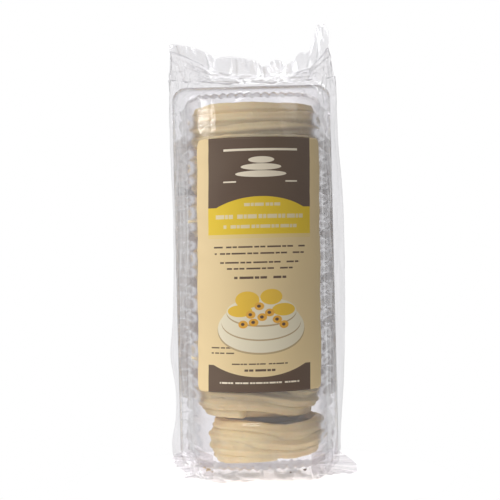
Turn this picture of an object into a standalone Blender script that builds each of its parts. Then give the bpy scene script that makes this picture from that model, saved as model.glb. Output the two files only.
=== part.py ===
"""Sealed clear pack of eight piped meringue nests, standing on its squashed end seal.

The wrapper is lofted from a flat base, through a D-shaped section that follows the tray, to the
crimped fin along the top, whose right-hand end is folded up into an ear. Its inside is cut to the
tray with a small clearance. In it are the moulded tray, open at the back, and the nests, each
turned from the outline of its piped rings. Two stickers are on the front and the back.
Metres, +Z up, the front sticker towards -Y, the origin under the middle of the whole box.
"""

import functools
import math

import bmesh
import bpy
import numpy as np

MM = 0.001

# Driving dimensions.
FRONT_RADIUS = 39.3 * MM  # film drawn round the front of the tray
BACK_Y = 39.3 * MM  # flat back of the pack
EDGE_Y = 36.6 * MM  # where the front film meets the fold along each side
SIDE_REACH = 50.0 * MM  # usual half width at the back
WALL_BOTTOM = 12.0 * MM  # the film is upright between these two heights
WALL_TOP = 214.0 * MM
SHOULDER_TOP = 223.0 * MM  # where the upright film would meet the roof, if neither were rounded
BACK_SHOULDER_START = 227.2 * MM
BACK_SHOULDER_TOP = 229.8 * MM
FIN_Y = 5.0 * MM  # middle of the crimped fin, front to back
FIN_THICKNESS = 1.2 * MM
FIN_END_LEFT = 46.5 * MM  # the fin is narrower than the pack
FIN_END_RIGHT = 44.6 * MM
BASE_FRONT_Y = -9.0 * MM  # front edge of the flat that the pack stands on
BASE_BACK_Y = 39.1 * MM
BASE_SHARE = 0.86  # width of the base against the section above it
BASE_SIDE_Y = 31.0 * MM
TOE_HEIGHT = 2.0 * MM  # lift of the film's lower shoulder at the front
FLAP_Y = 2.0 * MM  # ends of the lower seal, which stick out at both sides
FLAP_THICKNESS = 1.4 * MM

# Half widths of the pack at the back, as (height, reach) in millimetres.
RIGHT_REACH = [
    (0, 47.4),
    (22, 48.4),
    (51, 50.7),
    (69, 51.7),
    (128, 53.0),
    (170, 52.4),
    (187, 51.1),
    (220, 50.5),
]
LEFT_REACH = [
    (0, 50.6),
    (14, 52.9),
    (30, 50.2),
    (48, 49.9),
    (66, 52.3),
    (89, 50.6),
    (140, 48.9),
    (202, 49.7),
    (220, 49.7),
]

# The crimped fin, as (across, height) in millimetres: its upper edge and where the film parts.
FIN_UPPER = [
    (-50, 247.6),
    (-45.3, 247.9),
    (-30.4, 245.3),
    (-21.9, 241.3),
    (-7.6, 239.5),
    (3.8, 237.2),
    (7.2, 234.6),
    (10.5, 236.9),
    (17.4, 236.9),
    (19.4, 235.3),
    (28, 241.6),
    (33.2, 243.2),
    (35.2, 247.6),
    (39.2, 258.2),
    (40.3, 257.2),
    (41.6, 258.4),
    (44.6, 253.6),
]
FIN_LOWER = [
    (-50, 243.2),
    (-45.4, 242.8),
    (-29.5, 237.2),
    (-21, 232.6),
    (-6.7, 230),
    (10.5, 229.3),
    (27.7, 230.9),
    (35, 235.0),
    (44.6, 243.0),
]

# Ends of the lower seal, as (across, height) in millimetres.
RIGHT_FLAP = [(28, 0.4), (49.2, 0.4), (54.9, 1.0), (55.2, 5.7), (51.6, 8.8), (48.4, 11.4), (44, 14.2), (28, 14.2)]
LEFT_FLAP = [
    (-28, 0.4),
    (-45.0, 0.4),
    (-47.4, 1.5),
    (-45.2, 5.2),
    (-50.4, 7.8),
    (-51.6, 12.2),
    (-46.5, 15.0),
    (-28, 15.0),
]

# Stickers.
LABEL_GAP = 0.35 * MM
LABEL_THICKNESS = 0.3 * MM
FRONT_LABEL_BOTTOM = 52.6 * MM
FRONT_LABEL_TOP = 190.4 * MM
FRONT_LABEL_HALF_ANGLE = math.radians(57.6)
FRONT_LABEL_TURN_BOTTOM = math.radians(0.6)  # the sticker sits a little askew
FRONT_LABEL_TURN_TOP = math.radians(6.9)
FRONT_LABEL_CORNER = 3.5 * MM
BACK_LABEL_LEFT = -48.0 * MM
BACK_LABEL_RIGHT = 46.6 * MM
BACK_LABEL_BOTTOM = 41.8 * MM
BACK_LABEL_TOP = 197.0 * MM
BACK_LABEL_CORNER = 5.0 * MM

# Tray.
TRAY_RADIUS = 38.4 * MM  # round front
TRAY_WALL = 0.6 * MM
FLANGE_HALF_WIDTH = 46.2 * MM
FLANGE_Y = 37.7 * MM  # front face of the flange
FLANGE_BOTTOM = 0.8 * MM
FLANGE_TOP = 226.6 * MM
TRAY_BOTTOM_BACK = 3.0 * MM  # the end walls lean in from the flange to the front
TRAY_BOTTOM_FRONT = 11.0 * MM
TRAY_TOP_BACK = 221.0 * MM
TRAY_TOP_FRONT = 214.0 * MM
TRAY_CORNER = 8.0 * MM
TRAY_CLEARANCE = 0.35 * MM  # between the tray and the film
RIB_BOTTOM = 10.9 * MM  # lowest rib between two nests' places
RIB_PITCH = 25.4 * MM
RIB_DEPTH = 0.7 * MM
VENT_RADIUS = 1.5 * MM  # hole in the back film, under the back sticker
VENT_Z = 120.0 * MM

# Side walls of the tray, from the flange inwards, as (y, half width, depth of the flutes) in
# millimetres. The round front goes on from there by the angles below, from the front line.
TRAY_SIDE = [(24.0, 39.0, 3.2), (12.0, 38.8, 2.8), (3.0, 38.6, 0.9)]
TRAY_ANGLES = [80, 64, 48, 32, 16, 2]

# Nests, from the top one down: the height of its foot, its middle across, its width and height
# against the turned outline below, and its tilt in degrees.
NESTS = [
    (187.1, 0.2, 1.00, 1.00, 0.0),
    (162.0, -0.3, 0.99, 1.00, 0.0),
    (136.9, -0.5, 0.99, 1.00, 0.0),
    (111.8, -0.2, 0.98, 1.00, 0.0),
    (86.7, 0.5, 0.98, 1.00, 0.0),
    (61.6, -1.0, 0.97, 1.00, 0.0),
    (37.0, -0.8, 0.95, 0.98, 0.0),
    (12.9, 3.6, 0.90, 0.84, -4.6),
]

# Outline of a nest in millimetres, from under its middle, up the three piped rings of its wall,
# and over the rim into its hollow.
NEST_OUTLINE = [
    (28.0, 0.0),
    (34.2, 1.2),
    (35.6, 4.6),
    (34.6, 8.0),
    (36.8, 10.2),
    (37.0, 13.0),
    (35.6, 16.2),
    (36.6, 18.4),
    (35.4, 22.6),
    (31.6, 24.8),
    (26.6, 22.0),
    (24.0, 9.0),
]
NEST_FLOOR = 7.6 * MM
NEST_REACH = 37.0 * MM  # no nest comes nearer to the tray's round front than this

COLUMNS = 43  # points across each of the two films
SHOULDER_ROWS = 6
WALL_ROWS = 7
FIN_ROWS = 4
LABEL_COLUMNS = 17
LABEL_ROWS = 6
ARC_STEPS = 4
NEST_STEPS = 16


def through(points, at):
    """Smooth curve through the points, with each slope taken from its neighbours."""
    x, y = np.array(points, float).T * MM
    slope = np.gradient(y, x)
    k = np.clip(np.searchsorted(x, at) - 1, 0, len(x) - 2)
    step = x[k + 1] - x[k]
    t = np.clip((at - x[k]) / step, 0, 1)
    start = (1 + 2 * t) * (1 - t) ** 2 * y[k] + t * (1 - t) ** 2 * step * slope[k]
    end = t * t * (3 - 2 * t) * y[k + 1] - t * t * (1 - t) * step * slope[k + 1]
    return start + end


def tangent_angle():
    """Angle round the front arc, from its middle, where the film leaves it for the side fold."""
    distance = math.hypot(SIDE_REACH, EDGE_Y)
    direction = math.atan2(EDGE_Y, SIDE_REACH)
    return math.pi / 2 - (math.acos(FRONT_RADIUS / distance) - direction)


def section(across, height):
    """Front film of the upright part, across from -1 at the left fold to 1 at the right one.

    An arc round the tray's front, then a straight run on each side, back to the fold. The
    columns are spaced by length along it.
    """
    leave = tangent_angle()
    arc = FRONT_RADIUS * leave
    run = math.hypot(SIDE_REACH - FRONT_RADIUS * math.sin(leave), EDGE_Y + FRONT_RADIUS * math.cos(leave))
    share = arc / (arc + run)
    angle = np.clip(np.abs(across) / share, 0, 1) * leave
    along = np.clip((np.abs(across) - share) / (1 - share), 0, 1)
    reach = np.where(across > 0, through(RIGHT_REACH, height), through(LEFT_REACH, height))
    x = FRONT_RADIUS * np.sin(angle) * (1 - along) + reach * along
    y = -FRONT_RADIUS * np.cos(angle) * (1 - along) + EDGE_Y * along
    return np.sign(across) * x, y, along


def bent(start, corner, end, t):
    """Points at t along the curve that leaves start towards corner and reaches end from it."""
    return (1 - t) ** 2 * start + 2 * t * (1 - t) * corner + t * t * end


def stack(x, y, z):
    return np.stack(np.broadcast_arrays(x, y, z), axis=-1)


def fin_line(x):
    """Wavy line of the crimped fin, seen from above."""
    broad = 2.2 * MM * np.sin(x / (5.2 * MM) + 0.6)
    fine = 0.9 * MM * np.sin(x / (3.1 * MM) + 1.9)
    return FIN_Y + broad + fine


def film_rows(front):
    """Rows of points up one film, from the base to the fin's upper edge."""
    across = np.linspace(-1, 1, COLUMNS)
    side = -0.5 if front else 0.5

    low_x, low_y, along = section(across, WALL_BOTTOM)
    base_x = low_x * BASE_SHARE
    ripple = 1.6 * MM * np.sin(base_x / (6.5 * MM) + 1.1) * (1 - along)
    base_y = (BASE_FRONT_Y + ripple) * (1 - along) + BASE_SIDE_Y * along
    toe = TOE_HEIGHT if front else 0.0
    wall_y = low_y if front else BACK_Y
    base = stack(base_x, base_y if front else BASE_BACK_Y, 0.0)
    low = stack(low_x, wall_y, WALL_BOTTOM)
    low_corner = stack(low_x, wall_y, toe * (1 - along))
    rows = [bent(base, low_corner, low, t) for t in np.linspace(0, 1, SHOULDER_ROWS)]

    wall_end = WALL_TOP if front else BACK_SHOULDER_START
    for t in np.linspace(0, 1, WALL_ROWS)[1:]:
        height = WALL_BOTTOM + (wall_end - WALL_BOTTOM) * t
        x, y, _ = section(across, height)
        rows.append(stack(x, y if front else BACK_Y, height))

    top_x, _, along = section(across, wall_end)
    end = np.where(top_x > 0, FIN_END_RIGHT, FIN_END_LEFT)
    reach = np.where(top_x > 0, top_x.max(), -top_x.min())
    fin_x = top_x * (1 - (1 - end / reach) * (top_x / reach) ** 2)
    fin_y = fin_line(fin_x) + side * FIN_THICKNESS
    part = stack(fin_x, fin_y, through(FIN_LOWER, fin_x))
    shoulder = SHOULDER_TOP * (1 - along) + BACK_SHOULDER_TOP * along if front else BACK_SHOULDER_TOP
    corner = stack(top_x, rows[-1][:, 1], shoulder)
    rows += [bent(rows[-1], corner, part, t) for t in np.linspace(0, 1, SHOULDER_ROWS)[1:]]

    upper = stack(fin_x, fin_y, through(FIN_UPPER, fin_x))
    rows += [part + (upper - part) * t for t in np.linspace(0, 1, FIN_ROWS)[1:]]
    return np.array(rows)


def new_object(name, mesh, collection):
    thing = bpy.data.objects.new(name, mesh)
    collection.objects.link(thing)
    return thing


@functools.cache
def axis_x():
    """Where the tray's middle line runs, so that the box of the whole is centred on the origin."""
    left = film_rows(False)[..., 0].min()
    right = max(x for x, _ in RIGHT_FLAP) * MM
    return -(left + right) / 2


def moved_to_axis(points):
    return points + np.array([axis_x(), 0, 0])


def loft_pack(collection):
    """Front and back film, joined along both sides, along the base and along the fin's edge."""
    front = moved_to_axis(film_rows(True))
    back = moved_to_axis(film_rows(False))[:, ::-1]
    rings = np.concatenate([front, back], axis=1)
    count = rings.shape[1]
    mesh = bmesh.new()
    grid = [[mesh.verts.new(point) for point in ring] for ring in rings]
    for low, high in zip(grid, grid[1:]):
        for k in range(count):
            n = (k + 1) % count
            mesh.faces.new((low[k], low[n], high[n], high[k]))
    for k in range(COLUMNS - 1):
        mirror = count - 1 - k
        bottom, top = grid[0], grid[-1]
        mesh.faces.new((bottom[k + 1], bottom[k], bottom[mirror], bottom[mirror - 1]))
        mesh.faces.new((top[k], top[k + 1], top[mirror - 1], top[mirror]))
    bmesh.ops.recalc_face_normals(mesh, faces=mesh.faces)
    data = bpy.data.meshes.new("film_bag")
    mesh.to_mesh(data)
    mesh.free()
    return new_object("film_bag", data, collection)


def tray_outline(half_width, y, low, high, corner, flute):
    """Closed outline of the tray at one depth, from the middle of its lower end, turning left.

    A rectangle with round corners. Its sides follow the flutes: out by the flute's depth twice
    at each nest's place, and in between two places.
    """
    corner = min(corner, 0.9 * half_width)
    straight = half_width - corner
    diagonal = straight + corner * math.sqrt(0.5)
    lift = corner * (1 - math.sqrt(0.5))
    side = [(0.0, low), (straight / 2, low), (straight, low), (diagonal, low + lift), (half_width, low + corner)]
    for place in range(8):
        for part in (0, 1, 2):
            z = RIB_BOTTOM + RIB_PITCH * (place + part / 3)
            reach = flute if part else -min(flute, RIB_DEPTH)
            if place or part:
                side.append((half_width + reach, z))
    side += [(half_width, high - corner), (diagonal, high - lift), (straight, high), (straight / 2, high)]
    outline = side + [(0.0, high)] + [(-x, z) for x, z in side[:0:-1]]
    return [(x + axis_x(), y, z) for x, z in outline]


def tray_outlines(grown):
    """Outlines of the tray's outer surface from the flange's edge to the line along its front."""

    def outline(half_width, y, flute=0.0, at_edge=False):
        """One outline, its ends set by how far in front of the flange it is."""
        forward = (FLANGE_Y - y) / (FLANGE_Y + TRAY_RADIUS)
        low = TRAY_BOTTOM_BACK + (TRAY_BOTTOM_FRONT - TRAY_BOTTOM_BACK) * forward
        high = TRAY_TOP_BACK + (TRAY_TOP_FRONT - TRAY_TOP_BACK) * forward
        if at_edge:
            low, high = FLANGE_BOTTOM, FLANGE_TOP
        return tray_outline(half_width + grown, y, low - grown, high + grown, TRAY_CORNER + grown, flute)

    _, back_width, back_flute = TRAY_SIDE[0]
    outlines = [
        outline(FLANGE_HALF_WIDTH, FLANGE_Y - grown, at_edge=True),
        outline(back_width * MM, FLANGE_Y - grown, back_flute * MM),
    ]
    outlines += [outline(width * MM, y * MM, flute * MM) for y, width, flute in TRAY_SIDE]
    for angle in TRAY_ANGLES:
        turn = math.radians(angle)
        radius = TRAY_RADIUS + grown
        outlines.append(outline(radius * math.sin(turn) - grown, -radius * math.cos(turn)))
    return outlines


def tray_surface(name, outlines, collection, closed_back):
    """Skin over the outlines, closed along the front line, and at the back where asked."""
    mesh = bmesh.new()
    grid = [[mesh.verts.new(point) for point in outline] for outline in outlines]
    count = len(grid[0])
    for low, high in zip(grid, grid[1:]):
        for k in range(count):
            n = (k + 1) % count
            mesh.faces.new((low[k], low[n], high[n], high[k]))
    mesh.faces.new(grid[-1])
    if closed_back:
        mesh.faces.new(grid[0][::-1])
    data = bpy.data.meshes.new(name)
    mesh.to_mesh(data)
    mesh.free()
    return new_object(name, data, collection)


def moulded_tray(collection):
    tray = tray_surface("clear_tray", tray_outlines(0.0), collection, False)
    wall = tray.modifiers.new("wall", "SOLIDIFY")
    wall.thickness = TRAY_WALL
    wall.offset = -1
    return tray


def cut_with(pack, cutter, name):
    cutter.hide_render = True
    cutter.display_type = "WIRE"
    cut = pack.modifiers.new(name, "BOOLEAN")
    cut.operation = "DIFFERENCE"
    cut.solver = "EXACT"
    cut.object = cutter


def cut_inside(pack, cutters):
    """Room for the tray inside the film, with a small vent to the outside at the back."""
    outlines = tray_outlines(TRAY_CLEARANCE)
    back = FLANGE_Y + TRAY_WALL + TRAY_CLEARANCE
    outlines.insert(0, [(x, back, z) for x, _, z in outlines[0]])
    cut_with(pack, tray_surface("tray_room", outlines, cutters, True), "tray_room")
    bpy.ops.mesh.primitive_cylinder_add(
        vertices=12,
        radius=VENT_RADIUS,
        depth=2 * (BACK_Y - back + 0.2 * MM),
        location=(axis_x(), BACK_Y, VENT_Z),
        rotation=(math.radians(90), 0, 0),
    )
    vent = bpy.context.object
    vent.name = "vent"
    for owner in list(vent.users_collection):
        owner.objects.unlink(vent)
    cutters.objects.link(vent)
    cut_with(pack, vent, "vent")


def turned_nest(number, collection):
    """One nest: its outline turned about Z, tilted, and held off the tray's round front."""
    foot, across, wide, tall, tilt = NESTS[number]
    mesh = bmesh.new()
    angles = [2 * math.pi * k / NEST_STEPS for k in range(NEST_STEPS)]

    def vertex(radius, height, angle):
        """Vertex at a place on the turned nest, pushed in where it would meet the tray."""
        lean = math.radians(tilt)
        x = radius * wide * MM * math.cos(angle)
        z = height * tall * MM
        y = radius * wide * MM * math.sin(angle)
        x, z = x * math.cos(lean) + z * math.sin(lean), z * math.cos(lean) - x * math.sin(lean)
        x += across * MM
        squeeze = min(1.0, NEST_REACH / max(math.hypot(x, min(y, 0.0)), 1e-9))
        return mesh.verts.new((x * squeeze + axis_x(), y * squeeze, z + foot * MM))

    grid = [[vertex(radius, height, angle) for angle in angles] for radius, height in NEST_OUTLINE]
    for low, high in zip(grid, grid[1:]):
        for k in range(NEST_STEPS):
            n = (k + 1) % NEST_STEPS
            mesh.faces.new((low[k], low[n], high[n], high[k]))
    under = vertex(0.0, 0.0, 0.0)
    inside = vertex(0.0, NEST_FLOOR / MM, 0.0)
    for k in range(NEST_STEPS):
        n = (k + 1) % NEST_STEPS
        mesh.faces.new((under, grid[0][n], grid[0][k]))
        mesh.faces.new((inside, grid[-1][k], grid[-1][n]))
    bmesh.ops.recalc_face_normals(mesh, faces=mesh.faces)
    name = f"meringue_{number + 1}"
    data = bpy.data.meshes.new(name)
    mesh.to_mesh(data)
    mesh.free()
    return new_object(name, data, collection)


def flat_outline(name, points, thickness, collection, rounding=0.0):
    """Solid plate standing in the XZ plane, cut to a closed outline, as a mesh."""
    curve = bpy.data.curves.new(name, "CURVE")
    curve.dimensions = "2D"
    curve.fill_mode = "BOTH"
    curve.extrude = thickness / 2
    outline = rounded(points, rounding) if rounding else points
    spline = curve.splines.new("POLY")
    spline.points.add(len(outline) - 1)
    for point, (x, z) in zip(spline.points, outline):
        point.co = (x, z, 0, 1)
    spline.use_cyclic_u = True
    drawn = new_object(name + "_outline", curve, collection)
    drawn.rotation_euler = (math.radians(90), 0, 0)
    bpy.context.view_layer.update()
    evaluated = drawn.evaluated_get(bpy.context.evaluated_depsgraph_get())
    data = bpy.data.meshes.new_from_object(evaluated)
    data.transform(drawn.matrix_world)
    bpy.data.objects.remove(drawn)
    mesh = bmesh.new()
    mesh.from_mesh(data)
    bmesh.ops.remove_doubles(mesh, verts=mesh.verts, dist=0.00001)
    bmesh.ops.recalc_face_normals(mesh, faces=mesh.faces)
    mesh.to_mesh(data)
    mesh.free()
    data.name = name
    return new_object(name, data, collection)


def rounded(corners, radius):
    """The outline of a rectangle, given by its lower left and upper right corner, with round corners."""
    (left, bottom), (right, top) = corners
    centres = [
        (right - radius, bottom + radius, -90),
        (right - radius, top - radius, 0),
        (left + radius, top - radius, 90),
        (left + radius, bottom + radius, 180),
    ]
    outline = []
    for x, z, start in centres:
        for k in range(ARC_STEPS + 1):
            angle = math.radians(start + 90 * k / ARC_STEPS)
            outline.append((x + radius * math.cos(angle), z + radius * math.sin(angle)))
    return outline


def add_flap(pack, name, outline, collection, cutters):
    """Joins one end of the lower seal to the pack."""
    points = [(x * MM + axis_x(), z * MM) for x, z in outline]
    flap = flat_outline(name, points, FLAP_THICKNESS, cutters)
    flap.location.y = FLAP_Y
    flap.hide_render = True
    flap.display_type = "WIRE"
    join = pack.modifiers.new(name, "BOOLEAN")
    join.operation = "UNION"
    join.solver = "EXACT"
    join.object = flap


def curved_label(collection):
    """Rounded sheet bent round the front arc, a little askew, with its wall outside the film."""
    columns = LABEL_COLUMNS
    half_width = FRONT_RADIUS * FRONT_LABEL_HALF_ANGLE
    edge = half_width - FRONT_LABEL_CORNER
    bend = np.linspace(0, math.pi / 2, ARC_STEPS + 1)
    corner = edge + FRONT_LABEL_CORNER * np.sin(bend)
    flat = np.linspace(-edge, edge, columns)[1:-1]
    sideways = np.concatenate([-corner[::-1], flat, corner])
    beyond = np.clip(np.abs(sideways) - edge, 0, FRONT_LABEL_CORNER)
    inset = FRONT_LABEL_CORNER - np.sqrt(FRONT_LABEL_CORNER**2 - beyond**2)
    share = np.linspace(0, 1, LABEL_ROWS)[:, None]
    low = FRONT_LABEL_BOTTOM + np.minimum(inset, FRONT_LABEL_CORNER)
    high = FRONT_LABEL_TOP - np.minimum(inset, FRONT_LABEL_CORNER)
    height = low + (high - low) * share
    up = (height - FRONT_LABEL_BOTTOM) / (FRONT_LABEL_TOP - FRONT_LABEL_BOTTOM)
    turn = FRONT_LABEL_TURN_BOTTOM + (FRONT_LABEL_TURN_TOP - FRONT_LABEL_TURN_BOTTOM) * up
    angle = sideways / FRONT_RADIUS + turn
    radius = FRONT_RADIUS + LABEL_GAP
    points = moved_to_axis(stack(radius * np.sin(angle), -radius * np.cos(angle), height))
    mesh = bmesh.new()
    grid = [[mesh.verts.new(point) for point in row] for row in points]
    for low_row, high_row in zip(grid, grid[1:]):
        for k in range(len(low_row) - 1):
            mesh.faces.new((low_row[k], low_row[k + 1], high_row[k + 1], high_row[k]))
    data = bpy.data.meshes.new("front_label")
    mesh.to_mesh(data)
    mesh.free()
    label = new_object("front_label", data, collection)
    wall = label.modifiers.new("wall", "SOLIDIFY")
    wall.thickness = LABEL_THICKNESS
    wall.offset = 1
    return label


def flat_label(collection):
    corners = [
        (BACK_LABEL_LEFT + axis_x(), BACK_LABEL_BOTTOM),
        (BACK_LABEL_RIGHT + axis_x(), BACK_LABEL_TOP),
    ]
    label = flat_outline("back_label", corners, LABEL_THICKNESS, collection, BACK_LABEL_CORNER)
    label.location.y = BACK_Y + LABEL_GAP + LABEL_THICKNESS / 2
    return label


def give_material(thing, name, colour, roughness, transmission=0.0):
    material = bpy.data.materials.new(name)
    material.use_nodes = True
    shader = material.node_tree.nodes["Principled BSDF"]
    shader.inputs["Base Color"].default_value = (*colour, 1)
    shader.inputs["Roughness"].default_value = roughness
    shader.inputs["Metallic"].default_value = 0.0
    shader.inputs["Transmission Weight"].default_value = transmission
    thing.data.materials.clear()
    thing.data.materials.append(material)


def main():
    for thing in list(bpy.data.objects):
        bpy.data.objects.remove(thing)
    solids = bpy.data.collections.new("meringue_nest_pack")
    cutters = bpy.data.collections.new("joined_shapes")
    bpy.context.scene.collection.children.link(solids)
    bpy.context.scene.collection.children.link(cutters)

    pack = loft_pack(solids)
    add_flap(pack, "right_flap", RIGHT_FLAP, solids, cutters)
    add_flap(pack, "left_flap", LEFT_FLAP, solids, cutters)
    cut_inside(pack, cutters)
    tray = moulded_tray(solids)
    nests = [turned_nest(number, solids) for number in range(len(NESTS))]
    front = curved_label(solids)
    back = flat_label(solids)

    give_material(pack, "clear_film", (0.88, 0.88, 0.90), 0.12, transmission=0.8)
    give_material(front, "cream_paper", (0.72, 0.60, 0.38), 0.5)
    give_material(back, "grey_paper", (0.55, 0.49, 0.44), 0.55)
    give_material(tray, "clear_plastic", (0.90, 0.90, 0.92), 0.08, transmission=0.8)
    for nest in nests:
        give_material(nest, "baked_meringue", (0.88, 0.79, 0.60), 0.7)
    for thing in (pack, tray, front, back, *nests):
        thing.data.shade_smooth()
        thing.data.set_sharp_from_angle(angle=math.radians(35))


main()
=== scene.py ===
"""Looks of a sealed clear pack of eight piped meringue nests, standing on its squashed end seal.

The file is laid out as an add-on and run as a script. Each group of pieces has an operator, and
the sizes and colours that a user would change are properties of the scene. Points are worked out
with X measured from the tray's middle line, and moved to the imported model's own X at the end.
Metres, +Z up, the front sticker towards -Y.
"""

import math

import bpy
import numpy as np
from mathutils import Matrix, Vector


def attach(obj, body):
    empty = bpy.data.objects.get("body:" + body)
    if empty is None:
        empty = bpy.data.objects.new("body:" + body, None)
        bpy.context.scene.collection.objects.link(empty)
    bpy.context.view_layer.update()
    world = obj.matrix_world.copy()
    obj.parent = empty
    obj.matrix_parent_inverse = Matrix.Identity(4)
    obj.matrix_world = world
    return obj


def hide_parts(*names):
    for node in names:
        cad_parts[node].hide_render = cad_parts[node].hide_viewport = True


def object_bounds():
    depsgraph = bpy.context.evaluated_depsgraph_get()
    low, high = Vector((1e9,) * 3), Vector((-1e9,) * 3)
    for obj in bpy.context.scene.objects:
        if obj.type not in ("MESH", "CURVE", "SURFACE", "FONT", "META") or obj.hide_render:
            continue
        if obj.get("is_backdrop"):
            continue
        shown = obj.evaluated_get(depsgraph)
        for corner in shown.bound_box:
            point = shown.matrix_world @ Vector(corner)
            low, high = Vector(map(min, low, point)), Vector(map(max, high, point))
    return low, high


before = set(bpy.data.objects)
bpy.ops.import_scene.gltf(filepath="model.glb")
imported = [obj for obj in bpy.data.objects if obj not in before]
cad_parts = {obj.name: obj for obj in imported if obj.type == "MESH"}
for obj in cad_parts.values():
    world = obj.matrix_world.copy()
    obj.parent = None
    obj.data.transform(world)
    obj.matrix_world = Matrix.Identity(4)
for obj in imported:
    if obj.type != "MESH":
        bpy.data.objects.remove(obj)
CAD_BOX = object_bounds()

bl_info = {
    "name": "Meringue nest pack",
    "version": (1, 0, 0),
    "blender": (4, 5, 0),
    "location": "3D View > Sidebar > Meringue Pack",
    "description": "Builds the looks of a clear pack of piped meringue nests",
    "category": "Object",
}

MM = 0.001
BOX_LOW = np.array(CAD_BOX[0])
BOX_HIGH = np.array(CAD_BOX[1])
RIGHT_SEAL_TIP = 55.2 * MM
AXIS_X = BOX_HIGH[0] - RIGHT_SEAL_TIP  # the tray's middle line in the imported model
FULL_TURN = 2 * math.pi

# Film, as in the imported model, in metres.
SIDE_REACH = 50.0 * MM
WALL_BOTTOM = 12.0 * MM
WALL_TOP = 214.0 * MM
SHOULDER_TOP = 223.0 * MM
BACK_SHOULDER_START = 227.2 * MM
BACK_SHOULDER_TOP = 229.8 * MM
EDGE_Y = 36.6 * MM
FIN_Y = 5.0 * MM
FIN_THICKNESS = 1.0 * MM
FIN_END_LEFT = 46.5 * MM
FIN_END_RIGHT = 44.6 * MM
BASE_FRONT_Y = -9.0 * MM
BASE_BACK_Y = 39.1 * MM
BASE_SIDE_Y = 31.0 * MM
BASE_SHARE = 0.86
TOE_HEIGHT = 2.0 * MM

# Half widths of the pack at the back, as (height, reach) in millimetres.
RIGHT_REACH = [
    (0, 47.4), (22, 48.4), (51, 50.7), (69, 51.7), (128, 53.0), (170, 52.4), (187, 51.1), (220, 50.5),
]
LEFT_REACH = [
    (0, 50.6), (14, 52.9), (30, 50.2), (48, 49.9), (66, 52.3), (89, 50.6), (140, 48.9), (202, 49.7),
    (220, 49.7),
]

# The crimped fin, as (across, height) in millimetres: its upper edge and where the film parts.
FIN_UPPER = [
    (-50, 247.6), (-45.3, 247.9), (-30.4, 245.3), (-21.9, 241.3), (-7.6, 239.5), (3.8, 237.2),
    (7.2, 234.6), (10.5, 236.9), (17.4, 236.9), (19.4, 235.3), (28, 241.6), (33.2, 243.2),
    (35.2, 247.6), (39.2, 258.2), (40.3, 257.2), (41.6, 258.4), (44.6, 253.6),
]
FIN_LOWER = [
    (-50, 243.2), (-45.4, 242.8), (-29.5, 237.2), (-21, 232.6), (-6.7, 230), (10.5, 229.3),
    (27.7, 230.9), (35, 235.0), (44.6, 243.0),
]

# Ends of the lower seal: the line where each leaves the pack and its outer edge, in millimetres.
RIGHT_FLAP = [
    (40, 0.4), (49.2, 0.5), (54.5, 1.2), (54.9, 5.7), (51.6, 8.8), (48.4, 11.4), (44, 14.2), (40, 16),
]
LEFT_FLAP = [
    (-38, 0.4), (-45.0, 0.5), (-47.4, 1.5), (-46.2, 5.2), (-50.4, 7.8), (-51.4, 12.2), (-46.5, 15.0),
    (-38, 17),
]

# Folds of the film between the tray and the fin, as (across, height) of both ends in millimetres.
UPPER_FOLDS = [
    (-43.5, 240.0, -36.5, 225.5), (-36.5, 225.5, -37.0, 219.0), (-48.5, 243.0, -44.5, 220.0),
    (-34.0, 238.0, -27.0, 228.5), (-27.0, 228.5, -35.0, 220.5), (-21.5, 233.0, -27.5, 225.5),
    (-27.5, 225.5, -13.0, 229.5), (27.0, 238.0, 18.5, 227.5), (31.0, 243.0, 34.5, 226.0),
    (37.0, 249.0, 33.0, 233.0), (18.5, 227.5, 24.0, 222.0), (5.0, 231.0, 9.0, 222.0),
    (41.5, 252.0, 47.5, 224.0), (13.0, 232.0, 13.5, 225.0), (-9.0, 231.0, -5.0, 223.0),
]

# Each nest from the top one down, in millimetres and degrees: its foot's height, its middle
# across and front to back, its outer radius and its foot's, where its rope starts, how late in
# the turn it climbs, its tilt to the right and to the back, and how many turns shorter its rope is.
NESTS = [
    (187.0, 0.4, 0.2, 37.3, 35.5, 40.0, 0.00, 0.6, 0.4, 0.0),
    (161.9, -0.9, 0.3, 37.2, 34.8, -170.0, 0.10, -1.0, 0.6, 0.0),
    (136.8, -1.6, 0.2, 37.0, 34.5, -60.0, 0.00, 1.2, -0.5, 0.0),
    (111.7, -0.6, 0.4, 36.8, 34.0, 150.0, 0.05, -0.6, 0.8, 0.0),
    (86.6, 0.9, 0.3, 36.6, 34.4, -150.0, 0.10, 1.5, 0.3, 0.0),
    (61.5, -2.4, 0.5, 35.8, 33.6, 10.0, 0.00, -1.4, 0.6, 0.0),
    (36.9, -1.2, 0.3, 35.2, 31.0, -104.0, 0.00, 1.0, 0.5, 0.0),
    (13.4, 4.0, 0.4, 33.4, 29.8, -76.0, 0.14, -4.6, 1.0, 0.22),
]

# Crumbs lying in the film's fold under the tray: across, height and size in millimetres, and how
# brown each is, from 0 to 1.
CRUMBS = [
    (16.3, 4.9, 0.75, 0.9),
    (18.0, 5.3, 0.35, 0.8),
    (24.3, 6.1, 1.0, 1.0),
    (21.2, 5.6, 0.3, 0.7),
    (-29.6, 7.4, 1.5, 0.1),
    (-31.8, 8.3, 0.8, 0.2),
    (-27.6, 6.2, 0.6, 0.3),
    (-34.0, 10.4, 0.7, 0.4),
    (-8.0, 4.2, 0.35, 0.3),
    (3.5, 4.6, 0.3, 0.5),
]


# ---------------------------------------------------------------- sizes and colours


def length(name, description, default, low=0.0):
    """Length in metres, not under the lowest that is given."""
    return bpy.props.FloatProperty(
        name=name, description=description, default=default, min=low, unit="LENGTH"
    )


def share(name, description, default):
    """Share from 0 to 1."""
    return bpy.props.FloatProperty(
        name=name, description=description, default=default, min=0, max=1, subtype="FACTOR"
    )


def angle(name, description, degrees):
    """Angle, given in degrees."""
    return bpy.props.FloatProperty(
        name=name, description=description, default=math.radians(degrees), subtype="ANGLE"
    )


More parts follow.
